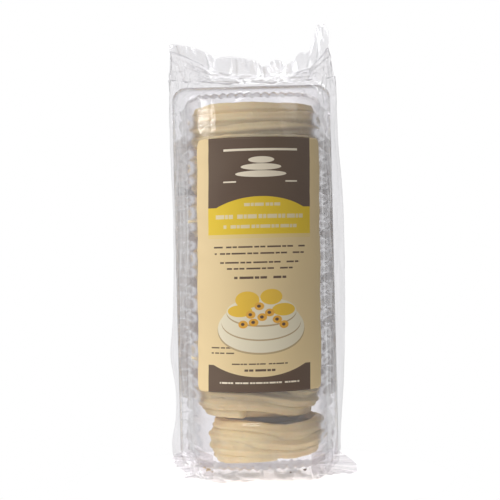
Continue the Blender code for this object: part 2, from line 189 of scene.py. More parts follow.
def number(name, description, default):
    """Plain number, whose unit stands in its description."""
    return bpy.props.FloatProperty(name=name, description=description, default=default)


def colour(name, description, default):
    """Linear colour."""
    return bpy.props.FloatVectorProperty(
        name=name, description=description, default=default, size=3, min=0, max=1, subtype="COLOR"
    )


class MeringuePackFilm(bpy.types.PropertyGroup):
    front_radius: length("Front radius", "Film drawn round the front of the tray", 39.3 * MM)
    back_y: length("Back", "Flat back of the pack", 39.3 * MM)
    crumple: length("Crumple", "Depth of the folds where the film is loose", 1.15 * MM)
    taut: length("Taut ripple", "Depth of the folds where the film is tight", 0.10 * MM)
    rib_pitch: length("Crimp pitch", "Distance between the ribs of the seals", 0.95 * MM)
    rib_depth: length("Crimp depth", "Depth of the ribs of the seals", 0.13 * MM)
    haze: share("Haze", "How milky the film is", 0.03)
    seal_haze: share("Seal haze", "How milky the crimped seals are", 0.15)
    tint: colour("Tint", "What the film lets through", (0.968, 0.964, 0.972))


class MeringuePackTray(bpy.types.PropertyGroup):
    radius: length("Front radius", "Round front of the tray", 38.9 * MM)
    wall: length("Wall", "Thickness of the plastic", 0.35 * MM)
    flange_half_width: length("Flange half width", "From the middle to the flange's edge", 46.9 * MM)
    flange_shift: length("Flange shift", "How far left of the body the flange sits", 0.6 * MM)
    flange_bottom: length("Flange bottom", "Height of the flange's lower edge", 0.8 * MM)
    flange_top: length("Flange top", "Height of the flange's upper edge", 227.0 * MM)
    corner: length("Corner", "Radius of the flange's corners", 8.0 * MM)
    first_rib: length("First rib", "Height of the lowest rib", 10.9 * MM)
    rib_pitch: length("Rib pitch", "Height of one nest's place", 25.4 * MM)
    rib_depth: length("Rib depth", "How far a rib stands in", 1.2 * MM)
    lobe_depth: length("Lobe depth", "How far the side flutes stand out", 3.7 * MM)
    tint: colour("Tint", "What the plastic lets through", (0.952, 0.947, 0.957))


class MeringuePackNest(bpy.types.PropertyGroup):
    rope_half_width: length("Rope half width", "Half the width of the piped rope", 4.9 * MM)
    rope_half_height: length("Rope half height", "Half the height of the piped rope", 4.4 * MM)
    rise: length("Rise", "Height from one turn of the rope to the next", 5.05 * MM)
    turns: number("Turns", "Turns of the rope in a nest's wall", 3.93)
    climb: share("Climb", "Share of a turn in which the rope climbs", 0.2)
    cream: colour("Cream", "Meringue", (0.97, 0.79, 0.44))
    toasted: colour("Toasted", "Meringue where it has browned a little", (0.88, 0.65, 0.33))


class MeringuePackStickers(bpy.types.PropertyGroup):
    bottom: length("Bottom", "Height of the front sticker's lower edge", 52.6 * MM)
    top: length("Top", "Height of the front sticker's upper edge", 190.4 * MM)
    half_angle: angle("Half angle", "Half the front sticker's wrap", 57.6)
    turn_bottom: angle("Turn at bottom", "How far round the pack its lower edge sits", 0.6)
    turn_top: angle("Turn at top", "How far round the pack its upper edge sits", 6.9)
    corner: length("Corner", "Radius of the front sticker's corners", 3.5 * MM)
    back_left: length("Back left", "Left edge of the back sticker", -48.0 * MM, -1.0)
    back_right: length("Back right", "Right edge of the back sticker", 46.6 * MM)
    back_bottom: length("Back bottom", "Lower edge of the back sticker", 41.8 * MM)
    back_top: length("Back top", "Upper edge of the back sticker", 197.0 * MM)
    back_corner: length("Back corner", "Radius of the back sticker's corners", 5.0 * MM)
    paper: colour("Paper", "Ground of the front sticker", (0.80, 0.62, 0.345))
    brown: colour("Brown", "Dark fields", (0.105, 0.066, 0.045))
    yellow: colour("Yellow", "Warm field", (0.80, 0.56, 0.035))
    pale: colour("Pale", "Light lines", (0.86, 0.76, 0.60))
    fruit: colour("Fruit", "Fruit drawn on the sticker", (0.78, 0.40, 0.06))
    # The inner face is a darker copy of the sticker's paper: painted shade.
    back_shaded_paper: colour("Back paper", "Inner face of the back sticker", (0.68, 0.585, 0.50))
    back_face: colour("Back face", "Outer face of the back sticker", (0.83, 0.78, 0.68))


class MeringuePackStudio(bpy.types.PropertyGroup):
    eye_distance: length("Eye distance", "From the camera to the pack's middle", 738.0 * MM)
    eye_height: length("Eye height", "Height of the camera", 129.5 * MM)
    eye_left: length("Eye left", "How far left of the tray's middle line it stands", 3.4 * MM)
    lens: number("Lens", "Focal length in millimetres", 93.4)
    lean: angle("Lean", "How far the pack leans left in the view", 1.4)
    key: number("Key light", "Power of the large soft light on the left, in watts", 8.0)
    fill: number("Fill light", "Power of the soft light in front, in watts", 3.3)
    glare: number("Glare", "Power of the narrow light that the tray's upper corner mirrors, in watts", 0.9)
    ambient: number("Ambient", "Strength of the light from all round", 0.17)
    mirrored: number("Mirrored", "Brightness of the surroundings that glossy surfaces mirror", 0.74)
    backdrop: number("Backdrop", "Brightness of the plain ground behind", 1.0)


# ---------------------------------------------------------------- shared shapes


def stack(x, y, z):
    """Points from their three coordinates, which may be single numbers."""
    return np.stack(np.broadcast_arrays(x, y, z), axis=-1)


def smooth(t):
    """0 below 0, 1 above 1, and an even S between them."""
    t = np.clip(t, 0, 1)
    return t * t * (3 - 2 * t)


def through(points, at):
    """Smooth curve through the points, with each slope taken from its neighbours."""
    x, y = np.array(points, float).T * MM
    slope = np.gradient(y, x)
    k = np.clip(np.searchsorted(x, at) - 1, 0, len(x) - 2)
    step = x[k + 1] - x[k]
    t = np.clip((at - x[k]) / step, 0, 1)
    start = (1 + 2 * t) * (1 - t) ** 2 * y[k] + t * (1 - t) ** 2 * step * slope[k]
    end = t * t * (3 - 2 * t) * y[k + 1] - t * t * (1 - t) * step * slope[k + 1]
    return start + end


def wander(along, seed, longest, count=5):
    """Smooth uneven wave of about -1 to 1: a sum of sines, each shorter and lower than the last."""
    rng = np.random.default_rng(seed)
    total = np.zeros_like(along)
    for k in range(count):
        phase = rng.uniform(0, FULL_TURN)
        total = total + np.sin(FULL_TURN * along * (1 + 0.83 * k) / longest + phase) / (1 + 0.6 * k)
    return total / 2


def grid_quads(rows, columns, closed, first=0, flip=False):
    """Corner numbers of a grid's faces, row by row; closed joins the last column to the first."""
    row = np.arange(rows - 1)[:, None]
    column = np.arange(columns if closed else columns - 1)[None, :]
    beside = (column + 1) % columns
    corners = [row * columns + column, row * columns + beside, (row + 1) * columns + beside]
    corners.append((row + 1) * columns + column)
    quads = np.stack(np.broadcast_arrays(*corners), axis=-1).reshape(-1, 4) + first
    return quads[:, ::-1] if flip else quads


def new_piece(name, points, faces, materials, uv=None, values=None):
    """Mesh piece from points and faces, shaded smooth, riding on the pack and kept in its box."""
    points = np.asarray(points, float).reshape(-1, 3) + np.array([AXIS_X, 0, 0])
    points = np.clip(points, BOX_LOW, BOX_HIGH)
    mesh = bpy.data.meshes.new(name)
    mesh.from_pydata(points, [], faces)
    if uv is not None:
        corner = np.empty(len(mesh.loops), np.int32)
        mesh.loops.foreach_get("vertex_index", corner)
        layer = mesh.uv_layers.new(name="UVMap")
        layer.data.foreach_set("uv", np.asarray(uv, np.float32).reshape(-1, 2)[corner].ravel())
    for key, value in (values or {}).items():
        layer = mesh.attributes.new(key, "FLOAT", "POINT")
        layer.data.foreach_set("value", np.asarray(value, np.float32).ravel())
    for material in materials:
        mesh.materials.append(material)
    mesh.shade_smooth()
    mesh.update()
    piece = bpy.data.objects.new(name, mesh)
    bpy.context.scene.collection.objects.link(piece)
    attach(piece, "root")
    return piece


def add_wall(piece, thickness, outwards, material_step=0):
    """Gives a sheet its thickness; the second face may take the next material."""
    wall = piece.modifiers.new("wall", "SOLIDIFY")
    wall.thickness = thickness
    wall.offset = 1 if outwards else -1
    wall.material_offset = material_step
    return wall


# ---------------------------------------------------------------- materials


class Wiring:
    """Adds nodes to a new material; any input takes a number, a colour or another node's socket."""

    def __init__(self, name):
        self.material = bpy.data.materials.new(name)
        self.material.use_nodes = True
        self.tree = self.material.node_tree
        self.tree.nodes.clear()

    def join(self, socket, value):
        if isinstance(value, bpy.types.NodeSocket):
            self.tree.links.new(value, socket)
        elif socket.type == "RGBA":
            socket.default_value = (*value[:3], 1)
        else:
            socket.default_value = value

    def node(self, kind, inputs=None, **settings):
        made = self.tree.nodes.new("ShaderNode" + kind)
        for key, value in settings.items():
            setattr(made, key, value)
        for key, value in (inputs or {}).items():
            self.join(made.inputs[key], value)
        return made

    def math(self, operation, first, second):
        return self.node("Math", {0: first, 1: second}, operation=operation).outputs[0]

    def add(self, first, second):
        return self.math("ADD", first, second)

    def subtract(self, first, second):
        return self.math("SUBTRACT", first, second)

    def times(self, first, second):
        return self.math("MULTIPLY", first, second)

    def above(self, value, edge):
        return self.math("GREATER_THAN", value, edge)

    def within(self, value, low, high):
        return self.times(self.above(value, low), self.math("LESS_THAN", value, high))

    def ramp(self, value, low, high, start=0.0, end=1.0):
        inputs = {"Value": value, "From Min": low, "From Max": high, "To Min": start, "To Max": end}
        return self.node("MapRange", inputs).outputs["Result"]

    def mix(self, factor, first, second):
        made = self.node("Mix", data_type="RGBA")
        self.join(made.inputs[0], factor)
        self.join(made.inputs[6], first)
        self.join(made.inputs[7], second)
        return made.outputs[2]

    def position(self):
        return self.node("TexCoord").outputs["Object"]

    def noise(self, scale, detail=2.0, roughness=0.5, vector=None):
        inputs = {"Scale": scale, "Detail": detail, "Roughness": roughness}
        inputs["Vector"] = vector or self.position()
        return self.node("TexNoise", inputs).outputs[0]

    def stretched(self, vector, scale):
        return self.node("Mapping", {"Vector": vector, "Scale": scale}).outputs["Vector"]

    def attribute(self, name):
        return self.node("Attribute", attribute_name=name).outputs["Fac"]

    def bump(self, height, strength, distance):
        inputs = {"Height": height, "Strength": strength, "Distance": distance}
        return self.node("Bump", inputs).outputs["Normal"]

    def gloss(self, normal):
        """Share that a bare clear surface mirrors, from either side: 4% face on, all edge on."""
        edge_on = self.node("LayerWeight", {"Blend": 0.5, "Normal": normal}).outputs["Facing"]
        return self.add(self.times(self.math("POWER", edge_on, 5.0), 0.96), 0.04)

    def finish(self, shader):
        output = self.node("OutputMaterial")
        self.tree.links.new(shader, output.inputs["Surface"])
        return self.material


CLEAR_SHEEN = (0.93, 0.93, 0.95)  # what a clear sheet mirrors
FILM_EDGE = (0.885, 0.87, 0.88)  # what passes where the film is seen edge on
TRAY_EDGE = (0.80, 0.77, 0.76)
FOOT_DARKENS = 24 * MM  # below this height the film's tint darkens towards the foot
FOOT_DARKEST = 6 * MM


def see_through(wiring, cover, tint, normal, roughness, shine):
    """Clear sheet: what covers it is a bright gloss mixed with a little milk, the rest lets through.

    Cover is the share that doesn't pass, and it rises where the sheet is seen edge on.
    """
    body = wiring.node(
        "BsdfPrincipled",
        {"Base Color": CLEAR_SHEEN, "Metallic": shine, "Roughness": roughness, "Normal": normal},
    )
    clear = wiring.node("BsdfTransparent", {"Color": tint})
    return wiring.node("MixShader", {0: cover, 1: clear.outputs[0], 2: body.outputs[0]}).outputs[0]


def film_material(name, film, milk, wrinkle):
    """Thin clear film: gloss from both faces, painted highlight and shade lines along its creases, and fine
    wrinkles.
    """
    wiring = Wiring(name)
    place = wiring.position()
    warp = wiring.noise(45.0, 3.0, 0.6)
    cells = wiring.node(
        "TexVoronoi",
        {"Vector": wiring.stretched(place, (1.0, 1.0, 0.4)), "Scale": 60.0},
        feature="DISTANCE_TO_EDGE",
    ).outputs["Distance"]
    height = wiring.add(wiring.times(warp, 0.8), wiring.ramp(cells, 0.0, 0.18))
    normal = wiring.bump(height, wrinkle, 0.0009)
    # Painted highlight and shade along the creases: this value raises the mirrored share of the cover and
    # darkens the tint.
    painted_crease_lines = wiring.attribute("painted_crease_lines")
    gloss = wiring.times(wiring.gloss(normal), 1.25)
    cover = wiring.add(wiring.add(gloss, milk), wiring.times(painted_crease_lines, 0.24))
    cover = wiring.math("MINIMUM", cover, 0.93)
    edge = wiring.node("LayerWeight", {"Blend": 0.35, "Normal": normal}).outputs["Facing"]
    up = wiring.node("SeparateXYZ", {0: place}).outputs[2]
    low = wiring.ramp(up, FOOT_DARKENS, FOOT_DARKEST, 0.0, 0.75)
    depth = wiring.add(wiring.times(edge, 0.75), wiring.times(painted_crease_lines, 0.22))
    tint = wiring.mix(wiring.math("MINIMUM", wiring.add(depth, low), 1.0), film.tint, FILM_EDGE)
    return wiring.finish(see_through(wiring, cover, tint, normal, 0.11, 0.72))


def tray_material(tray):
    """Clear moulded plastic: sharp gloss, painted highlight lines round the flutes, darker seen edge on."""
    wiring = Wiring("clear_tray")
    marks = wiring.noise(160.0, 2.0, 0.5, wiring.stretched(wiring.position(), (1.0, 0.35, 1.0)))
    normal = wiring.bump(marks, 0.25, 0.0004)
    # The rim value paints highlight lines: it raises the mirrored share on the flutes' outlines and the
    # flange's lip.
    rim = wiring.attribute("rim")
    cover = wiring.add(wiring.times(wiring.gloss(normal), 0.8), wiring.times(rim, 0.75))
    cover = wiring.math("MINIMUM", cover, 0.9)
    edge = wiring.node("LayerWeight", {"Blend": 0.5, "Normal": normal}).outputs["Facing"]
    tint = wiring.mix(wiring.math("POWER", edge, 2.2), tray.tint, TRAY_EDGE)
    return wiring.finish(see_through(wiring, cover, tint, normal, 0.06, 0.85))


def meringue_material(nest):
    """Baked meringue: matt and chalky, with faint browning, fine pits and lines along the rope."""
    wiring = Wiring("baked_meringue")
    rope = wiring.node("UVMap", uv_map="UVMap").outputs["UV"]
    patches = wiring.ramp(wiring.noise(38.0, 3.0, 0.55), 0.42, 0.72)
    lines = wiring.noise(1.0, 3.0, 0.6, wiring.stretched(rope, (0.35, 26.0, 1.0)))
    grain = wiring.noise(900.0, 3.0, 0.65)
    pits = wiring.node("TexVoronoi", {"Vector": wiring.position(), "Scale": 420.0}).outputs["Distance"]
    tone = wiring.add(wiring.times(patches, 0.45), wiring.times(wiring.ramp(lines, 0.42, 0.7), 0.6))
    base = wiring.mix(tone, nest.cream, nest.toasted)
    rough = wiring.add(wiring.times(grain, 0.35), wiring.times(pits, 0.4))
    height = wiring.add(wiring.times(lines, 0.7), rough)
    normal = wiring.bump(height, 0.6, 0.0009)
    shader = wiring.node(
        "BsdfPrincipled",
        {
            "Base Color": base,
            "Roughness": 0.68,
            "Specular IOR Level": 0.3,
            "Subsurface Weight": 0.3,
            "Subsurface Radius": (1.0, 0.7, 0.4),
            "Subsurface Scale": 0.003,
            "Normal": normal,
        },
    )
    return wiring.finish(shader.outputs[0])


class Print(Wiring):
    """Fields of colour and simple shapes on a sticker, placed in millimetres on its own sheet."""

    def __init__(self, name, width, height):
        super().__init__(name)
        uv = self.node("UVMap", uv_map="UVMap").outputs["UV"]
        split = self.node("SeparateXYZ", {0: uv})
        self.across = self.times(self.subtract(split.outputs[0], 0.5), width / MM)
        self.up = self.times(split.outputs[1], height / MM)
        self.ink = None

    def ground(self, value):
        self.ink = self.mix(0.0, value, value)

    def lay(self, mask, value):
        self.ink = self.mix(mask, self.ink, value)

    def field(self, left, right, low, high):
        """Mask of a rectangle; its lower and upper edges may be sockets."""
        return self.times(self.within(self.across, left, right), self.within(self.up, low, high))

    def bow(self, middle, half_width, rise):
        """Height of a shallow arch over the middle, nought beyond its half width."""
        offset = self.math("DIVIDE", self.subtract(self.across, middle), half_width)
        arch = self.subtract(1.0, self.times(offset, offset))
        return self.times(self.math("MAXIMUM", arch, 0.0), rise)

    def oval(self, middle, height, half_width, half_height):
        """Mask of an oval."""
        x = self.math("DIVIDE", self.subtract(self.across, middle), half_width)
        y = self.math("DIVIDE", self.subtract(self.up, height), half_height)
        return self.math("LESS_THAN", self.add(self.times(x, x), self.times(y, y)), 1.0)

    def dashes(self, middle, half_width, height, thickness, seed, pitch=5.2):
        """Mask of a row of short bars of uneven length, in the place of a line of text."""
        step = self.math("DIVIDE", self.add(self.across, 100.0 + seed * 3.7), pitch)
        sway = self.times(self.math("SINE", self.times(step, 2.3), 0.0), 0.35)
        part = self.math("FRACT", self.add(step, sway), 0.0)
        low = height - thickness / 2
        row = self.field(middle - half_width, middle + half_width, low, low + thickness)
        return self.times(row, self.math("LESS_THAN", part, 0.8))

    def paper(self, roughness, grain_depth):
        """Finish of the sheet: the ink with a faint gloss over the grain of the paper."""
        grain = self.noise(520.0, 3.0, 0.6)
        shade = self.noise(30.0, 2.0, 0.5)
        toned = self.mix(self.ramp(shade, 0.3, 0.75, 0.0, 0.07), self.ink, (0.5, 0.42, 0.3))
        normal = self.bump(grain, 0.35, grain_depth)
        inputs = {"Base Color": toned, "Roughness": roughness, "Specular IOR Level": 0.35, "Normal": normal}
        return self.finish(self.node("BsdfPrincipled", inputs).outputs[0])


# The print, in millimetres on each sticker's own sheet, across from its middle and up from its foot.
COLUMN = 30.3  # half width of the front sticker's printed column
COLUMN_SHIFT = -0.5
BAND_BARS = [(10.5, 101.4, 1.7, 1), (26.0, 95.0, 2.2, 2), (20.5, 89.6, 1.8, 3)]
TEXT_BARS = [(26.5, 78.6, 0.9, 4), (26.0, 75.1, 0.9, 5), (22.5, 70.2, 0.9, 6), (18.4, 66.9, 0.9, 7)]
TEXT_BARS += [(14.2, 62.0, 1.3, 8)]
NEST_OVALS = [(33.6, 25.0, 13.2), (34.6, 24.8, 13.2), (37.6, 22.6, 9.8), (38.4, 22.6, 9.8)]
NEST_OVALS += [(43.0, 19.5, 7.6), (43.7, 19.5, 7.4)]
SLICES = [(-7.5, 50.0, 6.5, 4.6), (5.5, 51.5, 6.0, 4.2), (12.5, 44.5, 6.6, 3.4), (-11.5, 44.0, 6.8, 3.2)]
SEEDS = [(-1.0, 46.5), (4.6, 43.0), (-5.6, 42.0), (0.6, 40.6), (8.8, 39.2), (-9.6, 36.8), (-4.0, 37.8)]
SEEDS += [(12.6, 36.4)]
BAR_PALE = (0.80, 0.68, 0.42)
BAND_SHADE = (0.80, 0.61, 0.27)
DRAWN_CREAM = (0.82, 0.74, 0.56)
DRAWN_SHADE = (0.50, 0.37, 0.21)
GOLDEN = (0.82, 0.52, 0.06)
GRAIN_DEPTH = 0.12 * MM


def front_print(stickers, width, height):
    """Cream paper with a dark head, a warm band with an arched top, a drawn nest and a dark foot."""
    page = Print("front_paper", width, height)
    left = COLUMN_SHIFT - COLUMN
    right = COLUMN_SHIFT + COLUMN
    page.ground(stickers.paper)
    column = page.within(page.across, left, right)

    # Dark head over the warm band, whose top is arched.
    arch_top = page.add(page.bow(COLUMN_SHIFT, 25.1, 5.8), 100.0)
    head = page.times(column, page.above(page.up, arch_top))
    page.lay(head, stickers.brown)
    band = page.times(column, page.within(page.up, 85.4, arch_top))
    page.lay(band, stickers.yellow)
    page.lay(page.field(left, right, 83.3, 85.4), BAND_SHADE)

    # Plain rules and a small piped swirl in the head.
    page.lay(page.field(COLUMN_SHIFT - 20.8, COLUMN_SHIFT + 20.8, 130.4, 131.6), stickers.pale)
    page.lay(page.field(COLUMN_SHIFT - 20.8, COLUMN_SHIFT - 13.5, 113.4, 114.2), stickers.pale)
    page.lay(page.field(COLUMN_SHIFT + 13.5, COLUMN_SHIFT + 20.8, 113.4, 114.2), stickers.pale)
    for half_width, low in ((14.0, 116.5), (11.0, 120.3), (7.0, 124.1)):
        page.lay(page.oval(COLUMN_SHIFT, low + 1.4, half_width, 1.75), stickers.pale)

    # Pale bars in the warm band.
    for half_width, middle, thickness, seed in BAND_BARS:
        page.lay(page.dashes(COLUMN_SHIFT, half_width, middle, thickness, seed, 3.6), BAR_PALE)

    # Dark bars in place of lines of text.
    for half_width, middle, thickness, seed in TEXT_BARS:
        page.lay(page.dashes(COLUMN_SHIFT, half_width, middle, thickness, seed), stickers.brown)
    page.lay(page.dashes(-22.0, 6.5, 24.2, 0.7, 9), stickers.brown)
    page.lay(page.dashes(-21.5, 7.0, 21.3, 0.7, 10), stickers.brown)

    # A nest drawn with plain ovals, with fruit on it.
    for k, (middle, half_width, half_height) in enumerate(NEST_OVALS):
        page.lay(page.oval(0.5, middle, half_width, half_height), DRAWN_CREAM if k % 2 else DRAWN_SHADE)
    for across, up, half_width, half_height in SLICES:
        page.lay(page.oval(across, up, half_width, half_height), GOLDEN)
    for across, up in SEEDS:
        page.lay(page.oval(across, up, 2.6, 2.1), stickers.fruit)
        page.lay(page.oval(across - 0.2, up + 0.1, 1.0, 0.85), stickers.brown)

    # Dark foot whose top edge dips in the middle, with a row of pale dashes.
    foot_top = page.subtract(14.8, page.bow(COLUMN_SHIFT, 26.6, 6.4))
    foot = page.times(column, page.math("LESS_THAN", page.up, foot_top))
    page.lay(page.dashes(COLUMN_SHIFT, 15.5, 15.4, 0.7, 11, 3.0), stickers.brown)
    page.lay(page.dashes(COLUMN_SHIFT, 8.4, 12.0, 1.2, 12, 4.2), stickers.brown)
    page.lay(foot, stickers.brown)
    page.lay(page.dashes(COLUMN_SHIFT, 22.5, 5.2, 0.9, 13, 2.4), stickers.pale)
    return page.paper(0.5, GRAIN_DEPTH)


def back_print(stickers, width, height):
    """Outer face of the back sticker: pale paper with a dark head and a plain ruled table."""
    page = Print("back_face", width, height)
    page.ground(stickers.back_face)
    dark = (0.10, 0.075, 0.06)
    page.lay(page.field(-42.0, 42.0, 138.0, 148.0), dark)
    for k in range(6):
        page.lay(page.dashes(0.0, 40.0 - 3.0 * (k % 3), 130.0 - 4.6 * k, 1.1, 20 + k), dark)
    page.lay(page.field(-40.0, 40.0, 40.0, 96.0), dark)
    page.lay(page.field(-39.4, 39.4, 40.6, 95.4), stickers.back_face)
    for k in range(1, 9):
        page.lay(page.field(-40.0, 40.0, 40.0 + 6.2 * k, 40.4 + 6.2 * k), dark)
        page.lay(page.dashes(-24.0, 13.0, 36.9 + 6.2 * k, 1.0, 30 + k), dark)
        page.lay(page.dashes(24.0, 10.0, 36.9 + 6.2 * k, 1.0, 40 + k), dark)
    for k in range(4):
        page.lay(page.dashes(0.0, 38.0 - 4.0 * (k % 2), 31.0 - 5.4 * k, 1.1, 50 + k), dark)
    return page.paper(0.55, GRAIN_DEPTH)


def back_inside(stickers, width, height):
    """Inner face of the back sticker: greyish, painted darker than the outer face as shade, with faint
    marks showing through.
    """
    page = Print("back_backing", width, height)
    # Darker ground than the outer face: painted shade.
    page.ground(stickers.back_shaded_paper)
    faint = (0.40, 0.345, 0.30)
    page.lay(page.field(-47.0, 46.0, 149.6, 150.2), faint)
    page.lay(page.field(-47.0, -20.0, 121.4, 126.6), (0.255, 0.205, 0.165))
    for k in range(5):
        page.lay(page.dashes(-43.0, 3.6, 146.0 - 4.4 * k, 1.5, 60 + k, 2.9), faint)
    for k in range(17):
        page.lay(page.dashes(42.0, 4.5, 145.0 - 7.4 * k, 1.0, 70 + k, 2.6), faint)
    for k in range(13):
        page.lay(page.dashes(-42.0, 4.2, 112.0 - 8.0 * k, 0.7, 90 + k, 3.1), (0.47, 0.41, 0.37))
    return page.paper(0.6, GRAIN_DEPTH)


def crumb_material():
    """Crumbs, pale to dark brown by their own tone, with a rough surface."""
    wiring = Wiring("crumb")
    tone = wiring.attribute("tone")
    base = wiring.mix(tone, (0.66, 0.50, 0.28), (0.13, 0.065, 0.03))
    normal = wiring.bump(wiring.noise(1400.0, 3.0, 0.6), 0.6, 0.0003)
    shader = wiring.node("BsdfPrincipled", {"Base Color": base, "Roughness": 0.7, "Normal": normal})
    return wiring.finish(shader.outputs[0])


def ground_material(brightness):
    """Plain pale ground that is nearly as bright as the light behind the pack."""
    wiring = Wiring("pale_ground")
    shade = wiring.ramp(wiring.noise(3.0, 2.0, 0.5), 0.3, 0.7, 0.86, 0.88)
    tone = wiring.node("CombineColor", {0: shade, 1: shade, 2: shade}).outputs[0]
    inputs = {
        "Base Color": tone,
        "Roughness": 0.9,
        "Specular IOR Level": 0.1,
        "Emission Color": (1.0, 1.0, 1.0),
        "Emission Strength": brightness * 0.8,
    }
    return wiring.finish(wiring.node("BsdfPrincipled", inputs).outputs[0])


# ---------------------------------------------------------------- film


def tangent_angle(film):
    """Angle round the front arc, from its middle, where the film leaves it for the side fold."""
    distance = math.hypot(SIDE_REACH, EDGE_Y)
    direction = math.atan2(EDGE_Y, SIDE_REACH)
    return math.pi / 2 - (math.acos(film.front_radius / distance) - direction)


def section(film, across, height):
    """Front film of the upright part, across from -1 at the left fold to 1 at the right one.

    An arc round the tray's front, then a straight run on each side, back to the fold. The
    columns are spaced by length along it.
    """
    radius = film.front_radius
    leave = tangent_angle(film)
    arc = radius * leave
    run = math.hypot(SIDE_REACH - radius * math.sin(leave), EDGE_Y + radius * math.cos(leave))
    part = arc / (arc + run)
    angle = np.clip(np.abs(across) / part, 0, 1) * leave
    along = np.clip((np.abs(across) - part) / (1 - part), 0, 1)
    reach = np.where(across > 0, through(RIGHT_REACH, height), through(LEFT_REACH, height))
    x = radius * np.sin(angle) * (1 - along) + reach * along
    y = -radius * np.cos(angle) * (1 - along) + EDGE_Y * along
    return np.sign(across) * x, y, along


def bent(start, corner, end, t):
    """Points at t along the curve that leaves start towards corner and reaches end from it."""
    return (1 - t) ** 2 * start + 2 * t * (1 - t) * corner + t * t * end


def fin_line(x):
    """Wavy line of the crimped fin, seen from above."""
    broad = 2.2 * MM * np.sin(x / (5.2 * MM) + 0.6)
    fine = 0.9 * MM * np.sin(x / (3.1 * MM) + 1.9)
    return FIN_Y + broad + fine


FILM_COLUMNS = 221  # points across the front film
BACK_COLUMNS = 111
LOWER_ROWS = 46
WALL_ROWS = 140
UPPER_ROWS = 84
LOWER_SHARE = LOWER_ROWS / (LOWER_ROWS + WALL_ROWS + UPPER_ROWS)


def film_rows(film, front, columns):
    """Rows of points up one film, from the base to where it enters the fin."""
    across = np.linspace(-1, 1, columns)
    side = -0.5 if front else 0.5
    low_x, low_y, along = section(film, across, WALL_BOTTOM)
    base_x = low_x * BASE_SHARE
    ripple = 1.6 * MM * np.sin(base_x / (6.5 * MM) + 1.1) * (1 - along)
    base_y = (BASE_FRONT_Y + ripple) * (1 - along) + BASE_SIDE_Y * along
    toe = TOE_HEIGHT if front else 0.0
    wall_y = low_y if front else film.back_y
    base = stack(base_x, base_y if front else BASE_BACK_Y, 0.0)
    low = stack(low_x, wall_y, WALL_BOTTOM)
    low_corner = stack(low_x, wall_y, toe * (1 - along))
    t = np.linspace(0, 1, LOWER_ROWS)[:, None, None]
    lower = bent(base, low_corner, low, t)

    wall_end = WALL_TOP if front else BACK_SHOULDER_START
    height = np.linspace(WALL_BOTTOM, wall_end, WALL_ROWS + 1)[1:, None]
    x, y, _ = section(film, across[None, :], height)
    wall = stack(x, y if front else film.back_y, height)

    top_x = wall[-1][:, 0]
    end = np.where(top_x > 0, FIN_END_RIGHT, FIN_END_LEFT)
    reach = np.where(top_x > 0, top_x.max(), -top_x.min())
    fin_x = top_x * (1 - (1 - end / reach) * (top_x / reach) ** 2)
    fin_y = fin_line(fin_x) + side * FIN_THICKNESS
    part = stack(fin_x, fin_y, through(FIN_LOWER, fin_x) + 0.6 * MM)
    shoulder = SHOULDER_TOP * (1 - along) + BACK_SHOULDER_TOP * along if front else BACK_SHOULDER_TOP
    corner = stack(top_x, wall[-1][:, 1], shoulder)
    t = np.linspace(0, 1, UPPER_ROWS + 1)[1:, None, None]
    upper = bent(wall[-1], corner, part, t)
    return np.concatenate([lower, wall, upper])


def travelled(points, axis):
    """Distance along the surface from the first row or column, worked out from the points."""
    steps = np.linalg.norm(np.diff(points, axis=axis), axis=-1)
    start = np.zeros_like(np.take(steps, [0], axis=axis))
    return np.concatenate([start, np.cumsum(steps, axis=axis)], axis=axis)


def outward(rings):
    """Unit normals of a closed stack of rings, from the steps round and up."""
    around = np.roll(rings, -1, axis=1) - np.roll(rings, 1, axis=1)
    up = np.gradient(rings, axis=0)
    normal = np.cross(around, up)
    return normal / np.maximum(np.linalg.norm(normal, axis=-1, keepdims=True), 1e-12)


def pillows(u, v, seed, around_step, levels):
    """Puckers between scattered creases.

    Points are scattered about a lattice, one row at each level. The pucker at a place is the square
    of its distance to the nearest point, so it is smooth inside a cell and sharp along the lines
    half way between two points. The second result is 1 on such a line and fades beside it.
    """
    rng = np.random.default_rng(seed)
    levels = np.array(levels)
    count = int(round((u.max() - u.min()) / around_step))
    gap = np.gradient(levels)
    lattice_u = (np.arange(count)[None, :] + rng.uniform(0, 1, (len(levels), count))) * around_step
    lattice_v = levels[:, None] + gap[:, None] * rng.uniform(-0.45, 0.45, (len(levels), count))
    points = np.stack([(lattice_u + u.min()).ravel(), lattice_v.ravel()], axis=-1)
    nearest = np.full(u.shape, 1e9)
    second = np.full(u.shape, 1e9)
    which = np.zeros(u.shape, int)
    other = np.zeros(u.shape, int)
    for k, (pu, pv) in enumerate(points):
        distance = (u - pu) ** 2 + (v - pv) ** 2
        closer = distance < nearest
        middle = (~closer) & (distance < second)
        second = np.where(closer, nearest, np.where(middle, distance, second))
        other = np.where(closer, which, np.where(middle, k, other))
        nearest = np.where(closer, distance, nearest)
        which = np.where(closer, k, which)
    gap_to_line = np.sqrt(second) - np.sqrt(nearest)
    strength = ((which + other) * 0.37 + which * other * 0.11) % 1.0
    line = np.exp(-((gap_to_line / (0.9 * MM)) ** 2)) * np.clip(strength * 1.8 - 0.5, 0, 1)
    return nearest, line


def fold_lines(x, z, folds, width):
    """Sharp valleys along straight lines: how near each place is to any of them, from 0 to 1."""
    valley = np.zeros_like(x)
    line = np.zeros_like(x)
    for x1, z1, x2, z2 in folds:
        start = np.array([x1, z1]) * MM
        step = np.array([x2, z2]) * MM - start
        t = np.clip(((x - start[0]) * step[0] + (z - start[1]) * step[1]) / (step @ step), 0, 1)
        distance = np.hypot(x - start[0] - t * step[0], z - start[1] - t * step[1])
        valley = np.maximum(valley, np.exp(-distance / width))
        line = np.maximum(line, np.exp(-((distance / (0.55 * MM)) ** 2)))
    return valley, line


